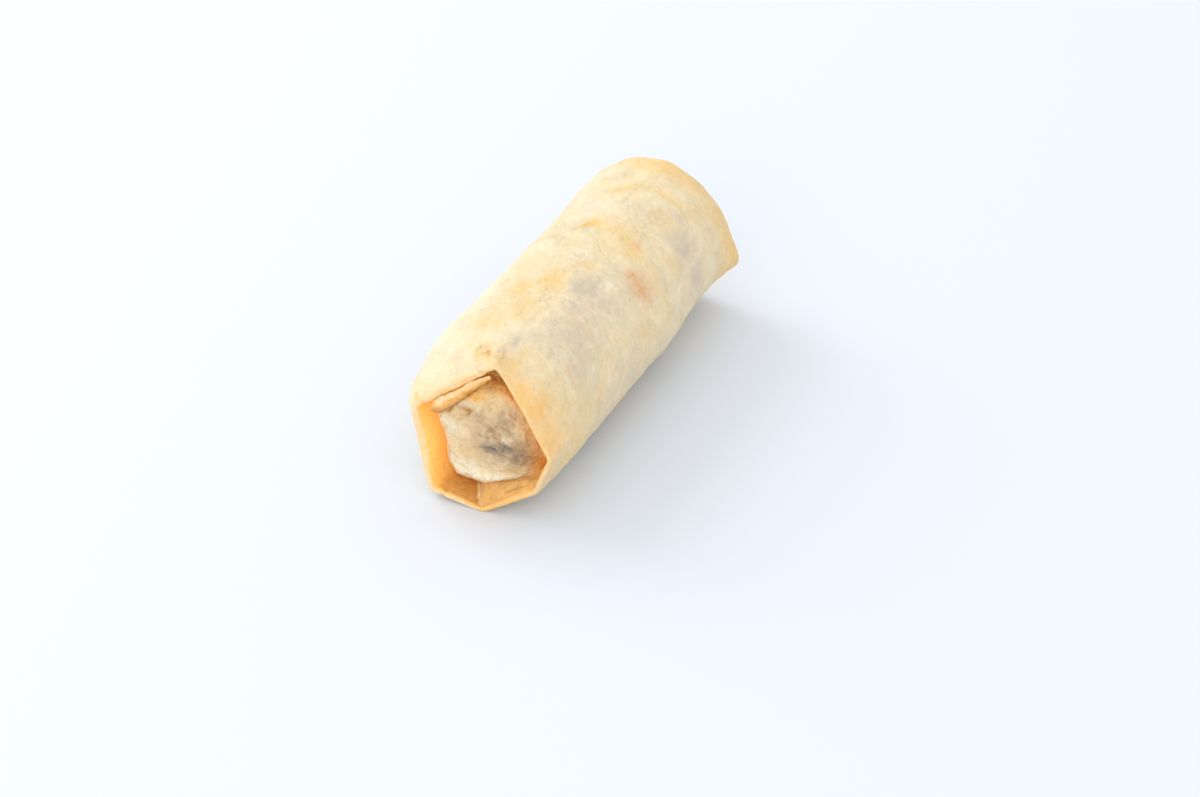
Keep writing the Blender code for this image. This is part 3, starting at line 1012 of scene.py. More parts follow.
# %% The far bulge as a mesh
FAR_BULGE_SPOTS = {
    "filling": ((-3.0, 1.0, 4.0, 3.5, 0.7), (4.5, -3.0, 3.0, 3.0, 0.5)),
    "dark": ((-2.0, 2.6, 1.3, 0.9, 0.6), (3.6, -3.4, 0.9, 0.6, 0.6)),
    "cream": ((4.5, 5.0, 3.0, 2.0, 0.7), (-5.0, -5.0, 2.5, 2.0, 0.6)),
    "golden": ((0.0, -6.5, 3.0, 1.6, 0.7), (6.5, 1.0, 2.0, 2.0, 0.5)),
}
masks = masks_across(far_bulge_full, FAR_BULGE_SPOTS, FAR_MIDDLE, 0.6, 101)
outer_share = np.clip((radii[::-1] / far_wall - 0.86) / 0.14, 0, 1)
masks["soaked"] = np.concatenate([np.ones((3, AROUND)), 0.8 * outer_share])
masks["browned"] = 0.2 * masks["golden"]
masks["glow"] = 0.5 * masks["soaked"]
far_bulge_piece = mesh_of_rings("bulge_in_far_mouth", far_bulge_full, masks, joined=False)

# %% [markdown]
# ## A short way to write nodes
#
# The rest is made with nodes, which are usually placed and joined by hand. In a script one helper does
# both: it places a node and fills its inputs, with a plain value or with another node's output.

# %% Node helper
def node(tree, kind, x=0, y=0, fed=(), **settings):
    """A node in a tree. `fed` fills its first inputs in order, and settings what they are named after."""
    made = tree.nodes.new(kind)
    made.location = (x, y)
    for name, value in settings.items():
        if hasattr(made, name):
            setattr(made, name, value)
        else:
            fill(tree, made.inputs[name.replace("_", " ")], value)
    for socket, value in zip(made.inputs, fed):
        fill(tree, socket, value)
    return made


def fill(tree, socket, value):
    """Gives an input a value, or links another node's output to it."""
    if isinstance(value, bpy.types.NodeSocket):
        tree.links.new(value, socket)
    else:
        socket.default_value = value


def remapped(tree, value, low, high, to_low, to_high, x, y, **settings):
    """A value stretched from one range to another, and held at both ends."""
    made = node(tree, "ShaderNodeMapRange", x, y, Value=value, From_Min=low, From_Max=high, **settings)
    fill(tree, made.inputs["To Min"], to_low)
    fill(tree, made.inputs["To Max"], to_high)
    return made.outputs["Result"]


def times(tree, first, second, x, y, **settings):
    """The product of two values."""
    return node(tree, "ShaderNodeMath", x, y, (first, second), operation="MULTIPLY", **settings).outputs[0]


def scaled(tree, vector, amount, x, y):
    """A vector made longer or shorter, or a colour brighter or darker."""
    made = node(tree, "ShaderNodeVectorMath", x, y, (vector,), operation="SCALE", Scale=amount)
    return made.outputs["Vector"]


print("helpers for nodes:", ", ".join(helper.__name__ for helper in (node, fill, remapped, times, scaled)))

# %% [markdown]
# ## Node groups for the materials
#
# The pieces share one dough, so the mixing of its colours is a shader node group. It starts from pale gold
# and lays each patch over it in turn, with fine noise that frays the patches and speckles the skin. A
# second group makes the fine relief: bubbles about a millimetre wide, a wrinkled net, and grain. The groups
# hold colours, masks and heights only, so each material keeps its own shader.

# %% Shader group helpers
def shader_group(name, inputs, outputs):
    """A shader node group with named inputs and outputs."""
    group = bpy.data.node_groups.new(name, "ShaderNodeTree")
    for title, socket_type, default in inputs:
        socket = group.interface.new_socket(title, in_out="INPUT", socket_type=socket_type)
        socket.default_value = default
    for title, socket_type in outputs:
        group.interface.new_socket(title, in_out="OUTPUT", socket_type=socket_type)
    return group


def mixed(tree, factor, first, second, x, y):
    """A colour mix of two sockets."""
    made = node(tree, "ShaderNodeMix", x, y, data_type="RGBA", Factor=factor, A=first, B=second)
    return made.outputs["Result"]


PALE = (0.80, 0.67, 0.44, 1)
COLOURS = (
    ("Cream", (0.86, 0.76, 0.55, 1)),
    ("Filling", (0.62, 0.52, 0.39, 1)),
    ("Golden", (0.82, 0.575, 0.245, 1)),
    ("Carrot", (0.76, 0.38, 0.18, 1)),
    ("Soaked", (0.90, 0.50, 0.14, 1)),
    ("Browned", (0.62, 0.28, 0.07, 1)),
    ("Dark", (0.16, 0.145, 0.13, 1)),
)
print("colours of the dough:", ", ".join(title for title, _ in COLOURS))

# %% [markdown]
# The colour group starts with clouds of paler, warmer and creamier dough. Each patch is laid over them by
# its mask, in the order of the list, and a speckle of fine golden grains comes last. It also says how wet
# the dough is, since oil makes it shine.

# %% Colour group
def fried_colour_group():
    """Mixes the dough's colours by their masks. Noise varies the pale ground and frays the masks."""
    inputs = [("Ground", "NodeSocketColor", PALE)]
    for title, colour in COLOURS:
        inputs += [(title, "NodeSocketFloat", 0.0), (title + " Colour", "NodeSocketColor", colour)]
    inputs += [("Speckle", "NodeSocketFloat", 0.5), ("Grain Scale", "NodeSocketFloat", 4200.0)]
    outputs = [("Color", "NodeSocketColor"), ("Wetness", "NodeSocketFloat")]
    group = shader_group("Fried dough colour", inputs, outputs)
    given = node(group, "NodeGroupInput", -1400).outputs
    place = node(group, "ShaderNodeTexCoord", -1400, -400).outputs["Object"]

    def cloudy(y, low, high, to_low, to_high, **settings):
        """Noise in the dough's own space, stretched from one range to another."""
        texture = node(group, "ShaderNodeTexNoise", -1100, y, Vector=place, **settings)
        return remapped(group, texture.outputs["Fac"], low, high, to_low, to_high, -800, y)

    tone = cloudy(-300, 0.3, 0.72, 0.88, 1.06, Scale=260, Detail=4)
    warmth = cloudy(100, 0.46, 0.72, 0.0, 0.5, Scale=170, Detail=3, Distortion=0.4)
    creamy = cloudy(400, 0.5, 0.68, 0.0, 0.55, Scale=620, Detail=4, Roughness=0.6)
    frayed = cloudy(-600, 0.3, 0.7, 0.6, 1.35, Scale=1100, Detail=5, Roughness=0.65)
    grains = cloudy(-900, 0.60, 0.74, 0.0, 1.0, Scale=given["Grain Scale"], Detail=3)
    colour = scaled(group, given["Ground"], tone, -600, 0)
    colour = mixed(group, warmth, colour, given["Golden Colour"], -450, 200)
    colour = mixed(group, creamy, colour, given["Cream Colour"], -380, 400)
    for step, (title, _) in enumerate(COLOURS):
        x = -400 + 200 * step
        strength = times(group, given[title], frayed, x, -250, use_clamp=True)
        colour = mixed(group, strength, colour, given[title + " Colour"], x + 100, 0)
    speckled = times(group, grains, given["Speckle"], 1200, -900)
    colour = mixed(group, speckled, colour, given["Golden Colour"], 1400, 0)
    wet = node(group, "ShaderNodeMath", 1400, -300, (given["Soaked"], given["Dark"]), operation="MAXIMUM")
    node(group, "NodeGroupOutput", 1800, Color=colour, Wetness=wet.outputs[0])
    return group


fried_colour = fried_colour_group()
print(fried_colour.name, "has", len(fried_colour.nodes), "nodes")

# %% [markdown]
# The relief group adds three textures, each with its own share. They are read at a place that noise has
# moved a little, because evenly round bubbles would look like a machine's work.

# %% Relief group
WANDER = 0.0008  # how far, in metres, the textures are bent out of shape


def fried_relief_group():
    """Fine relief of fried dough, from 0 to 1: small bubbles, a wrinkled net between them, and grain."""
    shares = {"Bubbles": 0.6, "Wrinkles": 0.5, "Grain": 0.2}
    inputs = [(title, "NodeSocketFloat", share) for title, share in shares.items()]
    group = shader_group("Fried dough relief", inputs, [("Height", "NodeSocketFloat")])
    given = node(group, "NodeGroupInput", -1000).outputs
    place = node(group, "ShaderNodeTexCoord", -1000, -300).outputs["Object"]
    drift = node(group, "ShaderNodeTexNoise", -800, -500, Vector=place, Scale=500, Detail=2).outputs["Color"]
    steps = (drift, (WANDER, WANDER, WANDER), place)
    bent = node(group, "ShaderNodeVectorMath", -600, -300, steps, operation="MULTIPLY_ADD").outputs["Vector"]
    bubble = node(group, "ShaderNodeTexVoronoi", -400, 0, feature="SMOOTH_F1", Vector=bent, Scale=750)
    bubble.inputs["Smoothness"].default_value = 0.35
    net = node(group, "ShaderNodeTexNoise", -400, -300, Vector=bent, Scale=1300, Detail=6, Roughness=0.6)
    fine = node(group, "ShaderNodeTexNoise", -400, -600, Vector=bent, Scale=5200, Detail=3)
    away = bubble.outputs["Distance"]
    dome = remapped(group, away, 0.1, 0.75, 1.0, 0.0, -200, 0, interpolation_type="SMOOTHSTEP")
    total = 0.0
    for step, (title, texture) in enumerate(zip(shares, (dome, net.outputs["Fac"], fine.outputs["Fac"]))):
        parts = (texture, given[title], total)
        total = node(group, "ShaderNodeMath", 100 + 200 * step, 0, parts, operation="MULTIPLY_ADD").outputs[0]
    node(group, "NodeGroupOutput", 800, Height=total)
    return group


fried_relief = fried_relief_group()
print(fried_relief.name, "has", len(fried_relief.nodes), "nodes")

# %% [markdown]
# ## Materials
#
# Fried dough is matt flour with a film of oil on it. A Principled shader of middling roughness gives the
# soft half sheen, and a little subsurface scattering lets light into the thin sheet, which softens its
# shadows and warms its edges. Where oil gathers, in the soaked folds, it is smoother. The outer skin, the
# skin over the bulges and the small pleats differ only in how strong each effect is.

# %% Dough material
THROUGH_DOUGH = (1.0, 0.58, 0.12)  # the colour of daylight that has passed through oily dough
GLOW_STRENGTH = 0.38
SMOOTHER_WHEN_WET = 0.16
MASK_TITLES = [title for title, _ in COLOURS]


def dough_material(name, ground, speckle, relief_depth, bubbles, wrinkles, roughness, **tones):
    """A fried dough material that reads its mesh's masks. Tones fill in more of the colour group's inputs."""
    material = bpy.data.materials.new(name)
    material.use_nodes = True
    tree = material.node_tree
    tree.nodes.clear()
    tones = {"Ground": ground, "Speckle": speckle, **tones}
    colour = node(tree, "ShaderNodeGroup", -200, node_tree=fried_colour, **tones)
    for step, title in enumerate(MASK_TITLES):
        mask = node(tree, "ShaderNodeAttribute", -500, -180 * step, attribute_name=title.lower())
        fill(tree, colour.inputs[title], mask.outputs["Fac"])
    shares = {"Bubbles": bubbles, "Wrinkles": wrinkles}
    height = node(tree, "ShaderNodeGroup", -200, -700, node_tree=fried_relief, **shares).outputs["Height"]
    bump = node(tree, "ShaderNodeBump", 50, -500, Height=height, Distance=relief_depth, Strength=1.0)
    wetness = colour.outputs["Wetness"]
    gloss = remapped(tree, wetness, 0.0, 1.0, roughness, roughness - SMOOTHER_WHEN_WET, 50, -200)
    lit_through = node(tree, "ShaderNodeAttribute", -200, 300, attribute_name="glow").outputs["Fac"]
    glow = scaled(tree, THROUGH_DOUGH, lit_through, 50, 300)
    shader = node(tree, "ShaderNodeBsdfPrincipled", 300, Base_Color=colour.outputs["Color"], Roughness=gloss)
    shader.inputs["IOR"].default_value = 1.45
    shader.inputs["Subsurface Weight"].default_value = 0.12
    shader.inputs["Subsurface Radius"].default_value = (1.0, 0.5, 0.2)
    shader.inputs["Subsurface Scale"].default_value = 0.0012
    shader.inputs["Emission Strength"].default_value = GLOW_STRENGTH
    fill(tree, shader.inputs["Emission Color"], glow)
    fill(tree, shader.inputs["Normal"], bump.outputs["Normal"])
    node(tree, "ShaderNodeOutputMaterial", 600, Surface=shader.outputs["BSDF"])
    return material


print("each dough material reads", len(MASK_TITLES) + 1, "masks")

# %% [markdown]
# The outer skin is pale and only slightly speckled. Over the bulges the sheet clings to the filling, so the
# ground is darker, the filling shows brown, and the speckle is coarser and stronger.

# %% Materials of the skins
skin_material = dough_material(
    "fried skin", PALE, speckle=0.25, relief_depth=0.00022, bubbles=0.5, wrinkles=0.9, roughness=0.5
)
mouth_material = dough_material(
    "skin over the filling", (0.84, 0.64, 0.385, 1),
    speckle=0.8, relief_depth=0.0004, bubbles=0.7, wrinkles=0.9, roughness=0.42,
    Filling_Colour=(0.46, 0.30, 0.165, 1), Cream_Colour=(0.93, 0.81, 0.58, 1), Grain_Scale=2600.0,
)
for piece in (last_turn_piece, turn_below_piece):
    piece.data.materials.append(skin_material)
for piece in (near_bulge_piece, far_bulge_piece):
    piece.data.materials.append(mouth_material)
print("materials:", skin_material.name, "and", mouth_material.name)

# %% [markdown]
# ## Folds that follow a path
#
# Small pleats stand in the mouth where the sheet was pinched. Each is a thin strip of dough, folded over
# and rolled by the cook's finger, so it is a flattened tube that swells and tapers along a path. A
# Geometry Nodes tree is the natural tool: it turns a curve into a mesh with an oval profile, thins it
# towards its ends and then roughens it with noise. The same tree serves every pleat, each with its own
# path and sizes.

# %% Geometry Nodes tools
def new_tree(name, inputs):
    """A geometry tree with named inputs. Each input is a name, a socket type and a default."""
    tree = bpy.data.node_groups.new(name, "GeometryNodeTree")
    tree.interface.new_socket("Geometry", in_out="INPUT", socket_type="NodeSocketGeometry")
    for title, socket_type, default in inputs:
        socket = tree.interface.new_socket(title, in_out="INPUT", socket_type=socket_type)
        if default is not None:
            socket.default_value = default
    tree.interface.new_socket("Geometry", in_out="OUTPUT", socket_type="NodeSocketGeometry")
    return tree


def finish_tree(tree, geometry, material, x):
    """Ends a tree: its instances become real geometry, and the material is set."""
    real = node(tree, "GeometryNodeRealizeInstances", x, Geometry=geometry).outputs["Geometry"]
    paint = node(tree, "GeometryNodeSetMaterial", x + 200, Geometry=real, Material=material)
    node(tree, "NodeGroupOutput", x + 400, Geometry=paint.outputs["Geometry"])


def grown(source, tree, values, name):
    """The mesh that a tree makes from an object, as an object of its own."""
    modifier = source.modifiers.new(tree.name, "NODES")
    modifier.node_group = tree
    for socket in tree.interface.items_tree:
        if socket.in_out == "INPUT" and socket.name in values:
            modifier[socket.identifier] = values[socket.name]
    source.update_tag()
    bpy.context.view_layer.update()
    evaluated = source.evaluated_get(bpy.context.evaluated_depsgraph_get())
    mesh = bpy.data.meshes.new_from_object(evaluated)
    mesh.name = name
    source.modifiers.remove(modifier)
    piece = bpy.data.objects.new(name, mesh)
    bpy.context.scene.collection.objects.link(piece)
    print(f"{name}: {len(mesh.polygons)} faces")
    return piece


print("a tree ends in Realize Instances and Set Material")

# %% [markdown]
# Two small pieces of a tree are needed more than once: a shift by noise, and a value stored as a mask. The
# noise is about zero, so that it moves a shape's surface without moving the whole shape.

# %% Parts of a tree
def noise_shift(tree, scale, detail, amount, seed, x, y):
    """A different small shift at each place, from noise centred on zero."""
    here = node(tree, "GeometryNodeInputPosition", x - 200, y).outputs["Position"]
    texture = node(tree, "ShaderNodeTexNoise", x, y, noise_dimensions="4D", Vector=here, W=seed, Scale=scale)
    texture.inputs["Detail"].default_value = detail
    less_half = (texture.outputs["Color"], (0.5, 0.5, 0.5))
    centred = node(tree, "ShaderNodeVectorMath", x + 200, y, less_half, operation="SUBTRACT")
    return scaled(tree, centred.outputs["Vector"], amount, x + 400, y)


def stored(tree, geometry, mask, value, x):
    """Geometry that carries a value as a named mask."""
    made = node(tree, "GeometryNodeStoreNamedAttribute", x, data_type="FLOAT", domain="POINT", Name=mask)
    fill(tree, made.inputs["Geometry"], geometry)
    fill(tree, made.inputs["Value"], value)
    return made.outputs["Geometry"]


print("parts of a tree:", noise_shift.__name__, "and", stored.__name__)

# %% [markdown]
# In the fold tree the curve's radius carries the taper, and noise shifts the oval profile into soft lobes. A
# second noise pushes each ring of the tube off its path, so no pleat is even. The tree also stores two masks
# for the material, both set by the way the fold faces: an oily orange where the fold looks sideways or down,
# which is partly oil and partly painted shade, and brown where it looks down, which is painted shade on its
# underside.

# %% Fold tree
SWELLING = ((0.15, 0.55), (0.45, 0.85), (0.8, 1.0), (0.94, 0.85))  # share of the path, and of the thickness


def fold_tree():
    """Curves become flattened, tapered, slightly crumpled tubes."""
    tree = new_tree("Fold along a path", [
        ("Thickness", "NodeSocketFloat", 0.0006),
        ("Flatness", "NodeSocketFloat", 0.5),
        ("Crumple", "NodeSocketFloat", 0.0002),
        ("Oil And Shade", "NodeSocketFloat", 1.0),
        ("Seed", "NodeSocketFloat", 0.0),
        ("Material", "NodeSocketMaterial", None),
    ])
    given = node(tree, "NodeGroupInput", -1000).outputs
    share = node(tree, "GeometryNodeSplineParameter", -1000, -300).outputs["Factor"]
    swell = node(tree, "ShaderNodeFloatCurve", -800, -300, Value=share)
    taper = swell.mapping.curves[0]
    taper.points[0].location, taper.points[1].location = (0, 0.25), (1, 0.3)
    for at, size in SWELLING:
        taper.points.new(at, size)
    swell.mapping.update()
    thick = times(tree, swell.outputs["Value"], given["Thickness"], -550, -300)
    even = node(tree, "GeometryNodeResampleCurve", -800, Curve=given["Geometry"], Count=72).outputs["Curve"]
    spine = node(tree, "GeometryNodeSetCurveRadius", -400, Curve=even, Radius=thick).outputs["Curve"]
    circle = node(tree, "GeometryNodeCurvePrimitiveCircle", -600, -600, Radius=1.0, Resolution=28)
    lobes = noise_shift(tree, 1.1, 1, 1.1, given["Seed"], -800, -900)
    lobed = node(tree, "GeometryNodeSetPosition", -350, -600, Geometry=circle.outputs["Curve"], Offset=lobes)
    squash = node(tree, "ShaderNodeCombineXYZ", -500, -750, X=1.0, Y=given["Flatness"], Z=1.0)
    oval = node(tree, "GeometryNodeTransform", -200, -600, Geometry=lobed.outputs["Geometry"])
    fill(tree, oval.inputs["Scale"], squash.outputs["Vector"])
    radius = node(tree, "GeometryNodeInputRadius", -300, -150).outputs["Radius"]
    tube = node(tree, "GeometryNodeCurveToMesh", -100, Curve=spine, Scale=radius, Fill_Caps=True)
    fill(tree, tube.inputs["Profile Curve"], oval.outputs["Geometry"])
    crumple = noise_shift(tree, 700, 3, given["Crumple"], given["Seed"], -100, -300)
    crumpled = node(tree, "GeometryNodeSetPosition", 300, Geometry=tube.outputs["Mesh"], Offset=crumple)
    facing = node(tree, "GeometryNodeInputNormal", 100, -600).outputs["Normal"]
    upward = node(tree, "ShaderNodeSeparateXYZ", 250, -600, (facing,)).outputs["Z"]
    # painted shade: by the way it faces, the fold's underside gets oily orange, partly real oil, and brown
    oil_and_underside_shade = times(tree, remapped(tree, upward, 0.8, 0.1, 0.0, 1.3, 400, -600), given["Oil And Shade"], 500, -400)
    with_oil_and_shade = stored(tree, crumpled.outputs["Geometry"], "soaked", oil_and_underside_shade, 420)
    underside_shade = remapped(tree, upward, 0.5, -0.4, 0.0, 1.0, 400, -800)
    with_underside_shade = stored(tree, with_oil_and_shade, "browned", underside_shade, 490)
    smooth = node(tree, "GeometryNodeSetShadeSmooth", 560, Geometry=with_underside_shade).outputs["Geometry"]
    finish_tree(tree, smooth, given["Material"], 640)
    return tree


folds = fold_tree()
print(folds.name, "has", len(folds.nodes), "nodes")

# %% [markdown]
# Each pleat needs a path. Three lie in the mouths and are drawn as a few points. The fourth is the lip that
# curls along the lifted free edge, so its points are read off the edge itself.

# %% Paths of the folds
def path(name, points):
    """A smooth curve through points given in the roll's own millimetres."""
    curve = bpy.data.curves.new(name, "CURVE")
    curve.dimensions = "3D"
    spline = curve.splines.new("BEZIER")
    spline.bezier_points.add(len(points) - 1)
    for knot, place in zip(spline.bezier_points, to_row(np.array(points, dtype=float)).tolist()):
        knot.co = place
        knot.handle_left_type = knot.handle_right_type = "AUTO"
    made = bpy.data.objects.new(name, curve)
    bpy.context.scene.collection.objects.link(made)
    return made


def on_skin(angle, along, lift):
    """A point of the body at an angle and a distance along, lifted off the skin."""
    ring_there = section(along, -lift)
    return tuple(ring_there[int(round(angle / 360 * AROUND)) % AROUND])


LIP_START, LIP_SPAN = 98, 50  # degrees
lip_path = []
for angle in range(LIP_START, LIP_START + LIP_SPAN + 1, 4):
    lift = 0.42 * math.sin(math.pi * (angle - LIP_START) / LIP_SPAN) - 0.12
    edge_there = float(np.interp(angle, degrees, edge))
    lip_path.insert(0, on_skin(angle, edge_there - 0.3, lift))
UNDER_APEX = (
    (1.2, 4.4, 10.3), (-0.8, 3.1, 8.9), (-2.8, 2.1, 7.3), (-5.0, 1.3, 5.7), (-6.9, 1.0, 4.1), (-7.0, 2.4, 3.1)
)
OVER_PLEAT = ((0.6, 4.8, 10.8), (-2.0, 3.4, 9.2), (-4.6, 2.3, 7.5), (-7.4, 1.6, 5.6))
IN_FAR_MOUTH = ((0.0, 71.8, -1.5), (-1.8, 72.2, -4.0), (-3.8, 71.8, -6.6), (-5.4, 70.6, -8.2))
print("the lip's path has", len(lip_path), "points")

# %% [markdown]
# The tree is now used once for each path. Two materials serve them: an oily orange one for the pleats in
# the mouths, which lay in the oil, and a pale one for the lip, which stood clear of it.

# %% Pleats and the lip
def folded_dough(name, ground, roughness):
    """A material for folded dough, with the speckle and relief that every fold shares."""
    return dough_material(
        name, ground, speckle=0.4, relief_depth=0.0002, bubbles=0.4, wrinkles=0.9, roughness=roughness
    )


oily_fold = folded_dough("oily fold", (0.86, 0.52, 0.26, 1), 0.38)
pale_fold = folded_dough("pale fold", (0.88, 0.64, 0.30, 1), 0.45)
PLEATS = (
    # name, path, thickness, flatness, crumple, oil and underside shade, seed, material
    ("lip_of_free_edge", lip_path, 0.34, 0.8, 0.25, 0.0, 2.0, pale_fold),
    ("pleat_under_apex", UNDER_APEX, 0.98, 1.0, 1.1, 1.2, 3.0, oily_fold),
    ("fold_over_pleat", OVER_PLEAT, 0.42, 0.9, 0.6, 4.0, 5.0, oily_fold),
    ("pleat_in_far_mouth", IN_FAR_MOUTH, 0.8, 0.8, 0.8, 1.0, 7.0, oily_fold),
)
pleat_pieces = []
for name, points, thickness, flatness, crumple, oil_and_underside_shade, seed, material in PLEATS:
    guide = path("guide_" + name, points)
    values = {"Thickness": thickness * MM, "Flatness": flatness, "Crumple": crumple * MM}
    values.update({"Oil And Shade": oil_and_underside_shade, "Seed": seed, "Material": material})
    pleat_pieces.append(grown(guide, folds, values, name))
    bpy.data.objects.remove(guide)
print(len(pleat_pieces), "folds grown along their paths")

# %% [markdown]
# ## Blisters
#
# Water in the dough boils as it fries and blows hundreds of small blisters, each a low dome well under a
# millimetre high. Geometry Nodes scatters them over a skin: more where the stored mask says so, turned to
# the surface, each with its own size. A blister is only a small icosphere pressed flat, because it is
# repeated so often. It keeps the masks of the skin under it and has the skin's material, so its colour
# matches.

# %% Blister tree
SUNK = 0.72  # share of a blister's radius that lies below the skin, so only a shallow cap shows


def blister_tree():
    """Scatters low domes over a mesh by its mask of blisters."""
    tree = new_tree("Scatter blisters", [
        ("Density", "NodeSocketFloat", 300000.0),
        ("Spacing", "NodeSocketFloat", 0.0007),
        ("Smallest", "NodeSocketFloat", 0.0002),
        ("Largest", "NodeSocketFloat", 0.0006),
        ("Height", "NodeSocketFloat", 0.3),
        ("Seed", "NodeSocketInt", 7),
        ("Material", "NodeSocketMaterial", None),
    ])
    given = node(tree, "NodeGroupInput", -900).outputs
    mask = node(tree, "GeometryNodeInputNamedAttribute", -700, -300, data_type="FLOAT", Name="blistered")
    seed = given["Seed"]
    scatter = node(tree, "GeometryNodeDistributePointsOnFaces", -500, distribute_method="POISSON", Seed=seed)
    fill(tree, scatter.inputs["Mesh"], given["Geometry"])
    fill(tree, scatter.inputs["Density Factor"], mask.outputs["Attribute"])
    fill(tree, scatter.inputs["Density Max"], given["Density"])
    fill(tree, scatter.inputs["Distance Min"], given["Spacing"])

    def drawn(kind, low, high, x, y):
        """A number or a vector drawn for each blister."""
        made = node(tree, "FunctionNodeRandomValue", x, y, data_type=kind, Min=low, Max=high, Seed=seed)
        return made.outputs["Value"]

    size = drawn("FLOAT", given["Smallest"], given["Largest"], -500, -600)
    shape = drawn("FLOAT_VECTOR", (0.75, 0.75, 0.6), (1.35, 1.1, 1.2), -500, -900)
    spin = drawn("FLOAT", 0.0, math.tau, -100, -900)
    ball = node(tree, "GeometryNodeMeshIcoSphere", -500, -300, Radius=1.0, Subdivisions=2).outputs["Mesh"]
    smooth = node(tree, "GeometryNodeSetShadeSmooth", -400, -300, Geometry=ball).outputs["Geometry"]
    dome = node(tree, "GeometryNodeTransform", -250, -300, Geometry=smooth, Translation=(0, 0, -SUNK))
    flat = node(tree, "ShaderNodeCombineXYZ", -300, -700, X=1.0, Y=1.0, Z=given["Height"]).outputs["Vector"]
    sized = scaled(tree, flat, size, -100, -600)
    shaped = node(tree, "ShaderNodeVectorMath", 100, -700, (sized, shape), operation="MULTIPLY")
    place = node(tree, "GeometryNodeInstanceOnPoints", 100, Points=scatter.outputs["Points"])
    fill(tree, place.inputs["Rotation"], scatter.outputs["Rotation"])
    fill(tree, place.inputs["Instance"], dome.outputs["Geometry"])
    fill(tree, place.inputs["Scale"], shaped.outputs["Vector"])
    twist = node(tree, "ShaderNodeCombineXYZ", 100, -900, Z=spin).outputs["Vector"]
    turned = node(tree, "GeometryNodeRotateInstances", 300, Instances=place.outputs["Instances"])
    fill(tree, turned.inputs["Rotation"], twist)
    finish_tree(tree, turned.outputs["Instances"], given["Material"], 500)
    return tree


blisters = blister_tree()
print(blisters.name, "has", len(blisters.nodes), "nodes")

# %% [markdown]
# The last turn and the turn below each get their own scatter, with a seed of its own. A blister is at least
# 0.9 mm from the next. Its ball is between 0.4 and 1.2 mm in radius before it is pressed flat and sunk.

# %% Blisters on both turns
BLISTER_VALUES = {
    "Density": 300000.0, "Spacing": 0.0009, "Smallest": 0.0004, "Largest": 0.0012, "Height": 0.3,
    "Material": skin_material,
}
blister_pieces = []
for skin, name, seed in ((last_turn_piece, "blisters_near", 7), (turn_below_piece, "blisters_far", 23)):
    blister_pieces.append(grown(skin, blisters, {**BLISTER_VALUES, "Seed": seed}, name))
print(len(blister_pieces), "skins have blisters")

# %% [markdown]
# ## Riding on the model
#
# Every piece belongs to the one solid node, which the skin and its details replace.

# %% Attaching the pieces
skins = [last_turn_piece, turn_below_piece, near_bulge_piece, far_bulge_piece]
for piece in skins + pleat_pieces + blister_pieces:
    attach(piece, "root")
    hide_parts("spring_roll")
print("pieces that ride on the roll:", len(skins + pleat_pieces + blister_pieces))

# %% [markdown]
# ## A pale table, soft daylight and the camera
#
# The roll is lit as food usually is: bright soft light from behind and above on the left, filled from all
# round by a white room. The table is a plain pale sheet, a little blue, which makes the gold look warm. It
# is very slightly below the roll, so that no two faces lie in one plane.

# %% Table
TABLE_REACH = 1.5  # metres from the roll to the table's edge
GAP = 0.05 * MM
floor_mesh = bpy.data.meshes.new("table")
corners = [(x * TABLE_REACH, y * TABLE_REACH, 0) for x, y in ((-1, -1), (1, -1), (1, 1), (-1, 1))]
floor_mesh.from_pydata(corners, [], [(0, 1, 2, 3)])
floor = bpy.data.objects.new("table", floor_mesh)
floor.location.z = cad_low.z - GAP
bpy.context.scene.collection.objects.link(floor)
floor_material = bpy.data.materials.new("pale table")
floor_material.use_nodes = True
floor_shader = floor_material.node_tree.nodes["Principled BSDF"]
floor_shader.inputs["Base Color"].default_value = (0.71, 0.75, 0.82, 1)
floor_shader.inputs["Roughness"].default_value = 0.6
floor_mesh.materials.append(floor_material)
print("the table is", 2 * TABLE_REACH, "metres wide")

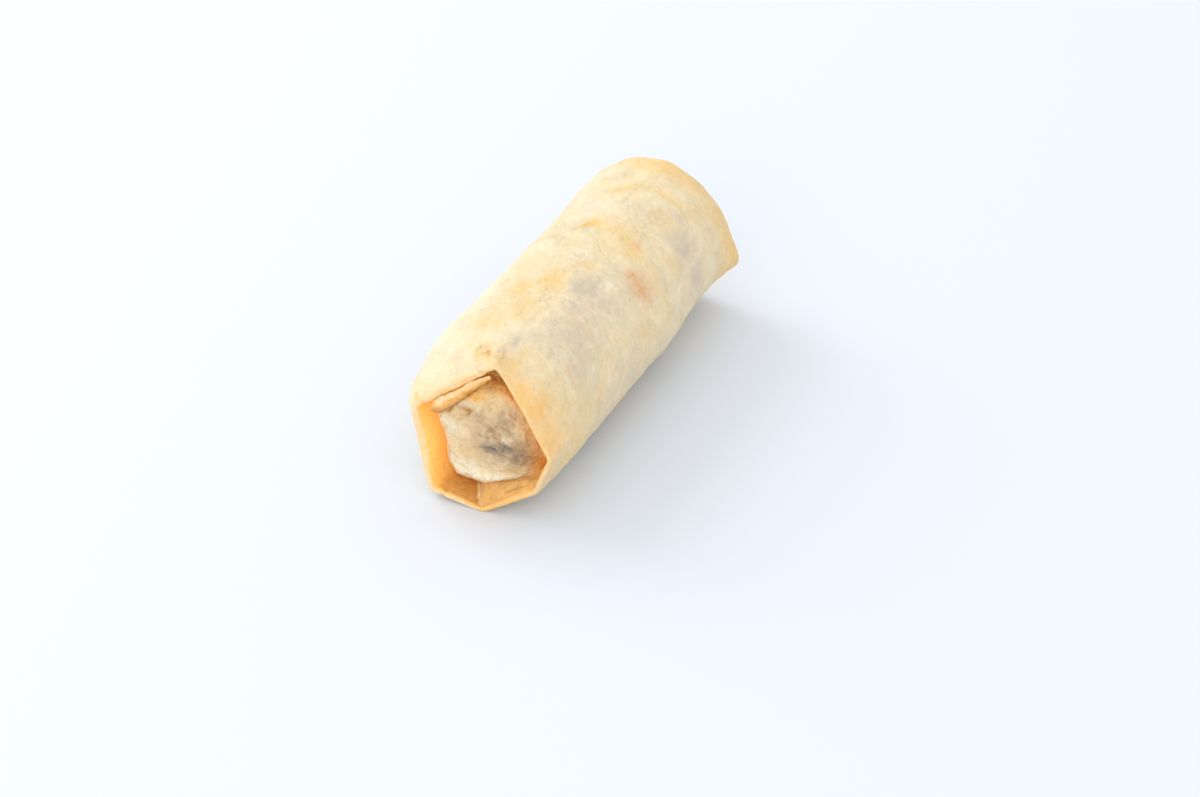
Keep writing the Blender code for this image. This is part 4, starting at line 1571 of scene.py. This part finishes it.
# %% [markdown]
# Two large lamps stand for a window behind on the left and the lit room in front. Large lamps make soft
# shadows, and small ones hard ones. The white room itself lights the rest.

# %% Light
world = bpy.data.worlds.new("white room")
world.use_nodes = True
world.node_tree.nodes["Background"].inputs["Color"].default_value = (0.98, 0.99, 1.0, 1)
world.node_tree.nodes["Background"].inputs["Strength"].default_value = 1.05
bpy.context.scene.world = world


def soft_light(name, place, size, power, colour):
    """A square area light that looks at the roll."""
    data = bpy.data.lights.new(name, "AREA")
    data.size, data.energy, data.color = size, power, colour
    lamp = bpy.data.objects.new(name, data)
    lamp.location = place
    lamp.rotation_euler = (-Vector(place)).to_track_quat("-Z", "Y").to_euler()
    bpy.context.scene.collection.objects.link(lamp)


soft_light("window", (-0.78, 0.2, 0.5), 0.6, 3.7, (1.0, 0.99, 0.97))
soft_light("room in front", (0.15, -0.9, 0.3), 0.8, 2.3, (1.0, 0.98, 0.95))
bpy.context.scene.view_settings.view_transform = "Standard"

# %% [markdown]
# The camera looks down from the front right with a long lens, as for a close picture of food. It is set
# from the near mouth: so far to the right, so far up and so far back.

# %% Camera
AZIMUTH, ELEVATION = math.radians(25.5), math.radians(35)
TO_RIGHT, UPWARDS, BACKWARDS = 19.68, 7.298, 656.0  # millimetres from the mouth
right = Vector((math.cos(AZIMUTH), math.sin(AZIMUTH), 0))
level = math.cos(ELEVATION)
back = Vector((math.sin(AZIMUTH) * level, -math.cos(AZIMUTH) * level, math.sin(ELEVATION)))
up = back.cross(right)
mouth = Vector(to_row(np.array([1.4, 0.0, -0.1])).tolist())
camera_data = bpy.data.cameras.new("camera")
camera_data.lens = 120
camera_data.clip_start = 0.01
camera = bpy.data.objects.new("camera", camera_data)
camera.location = mouth + (right * TO_RIGHT + up * UPWARDS + back * BACKWARDS) * MM
camera.rotation_euler = back.to_track_quat("Z", "Y").to_euler()
bpy.context.scene.collection.objects.link(camera)
bpy.context.scene.camera = camera
print("camera", round(camera.location.length * 1000), "mm from the middle of the roll")
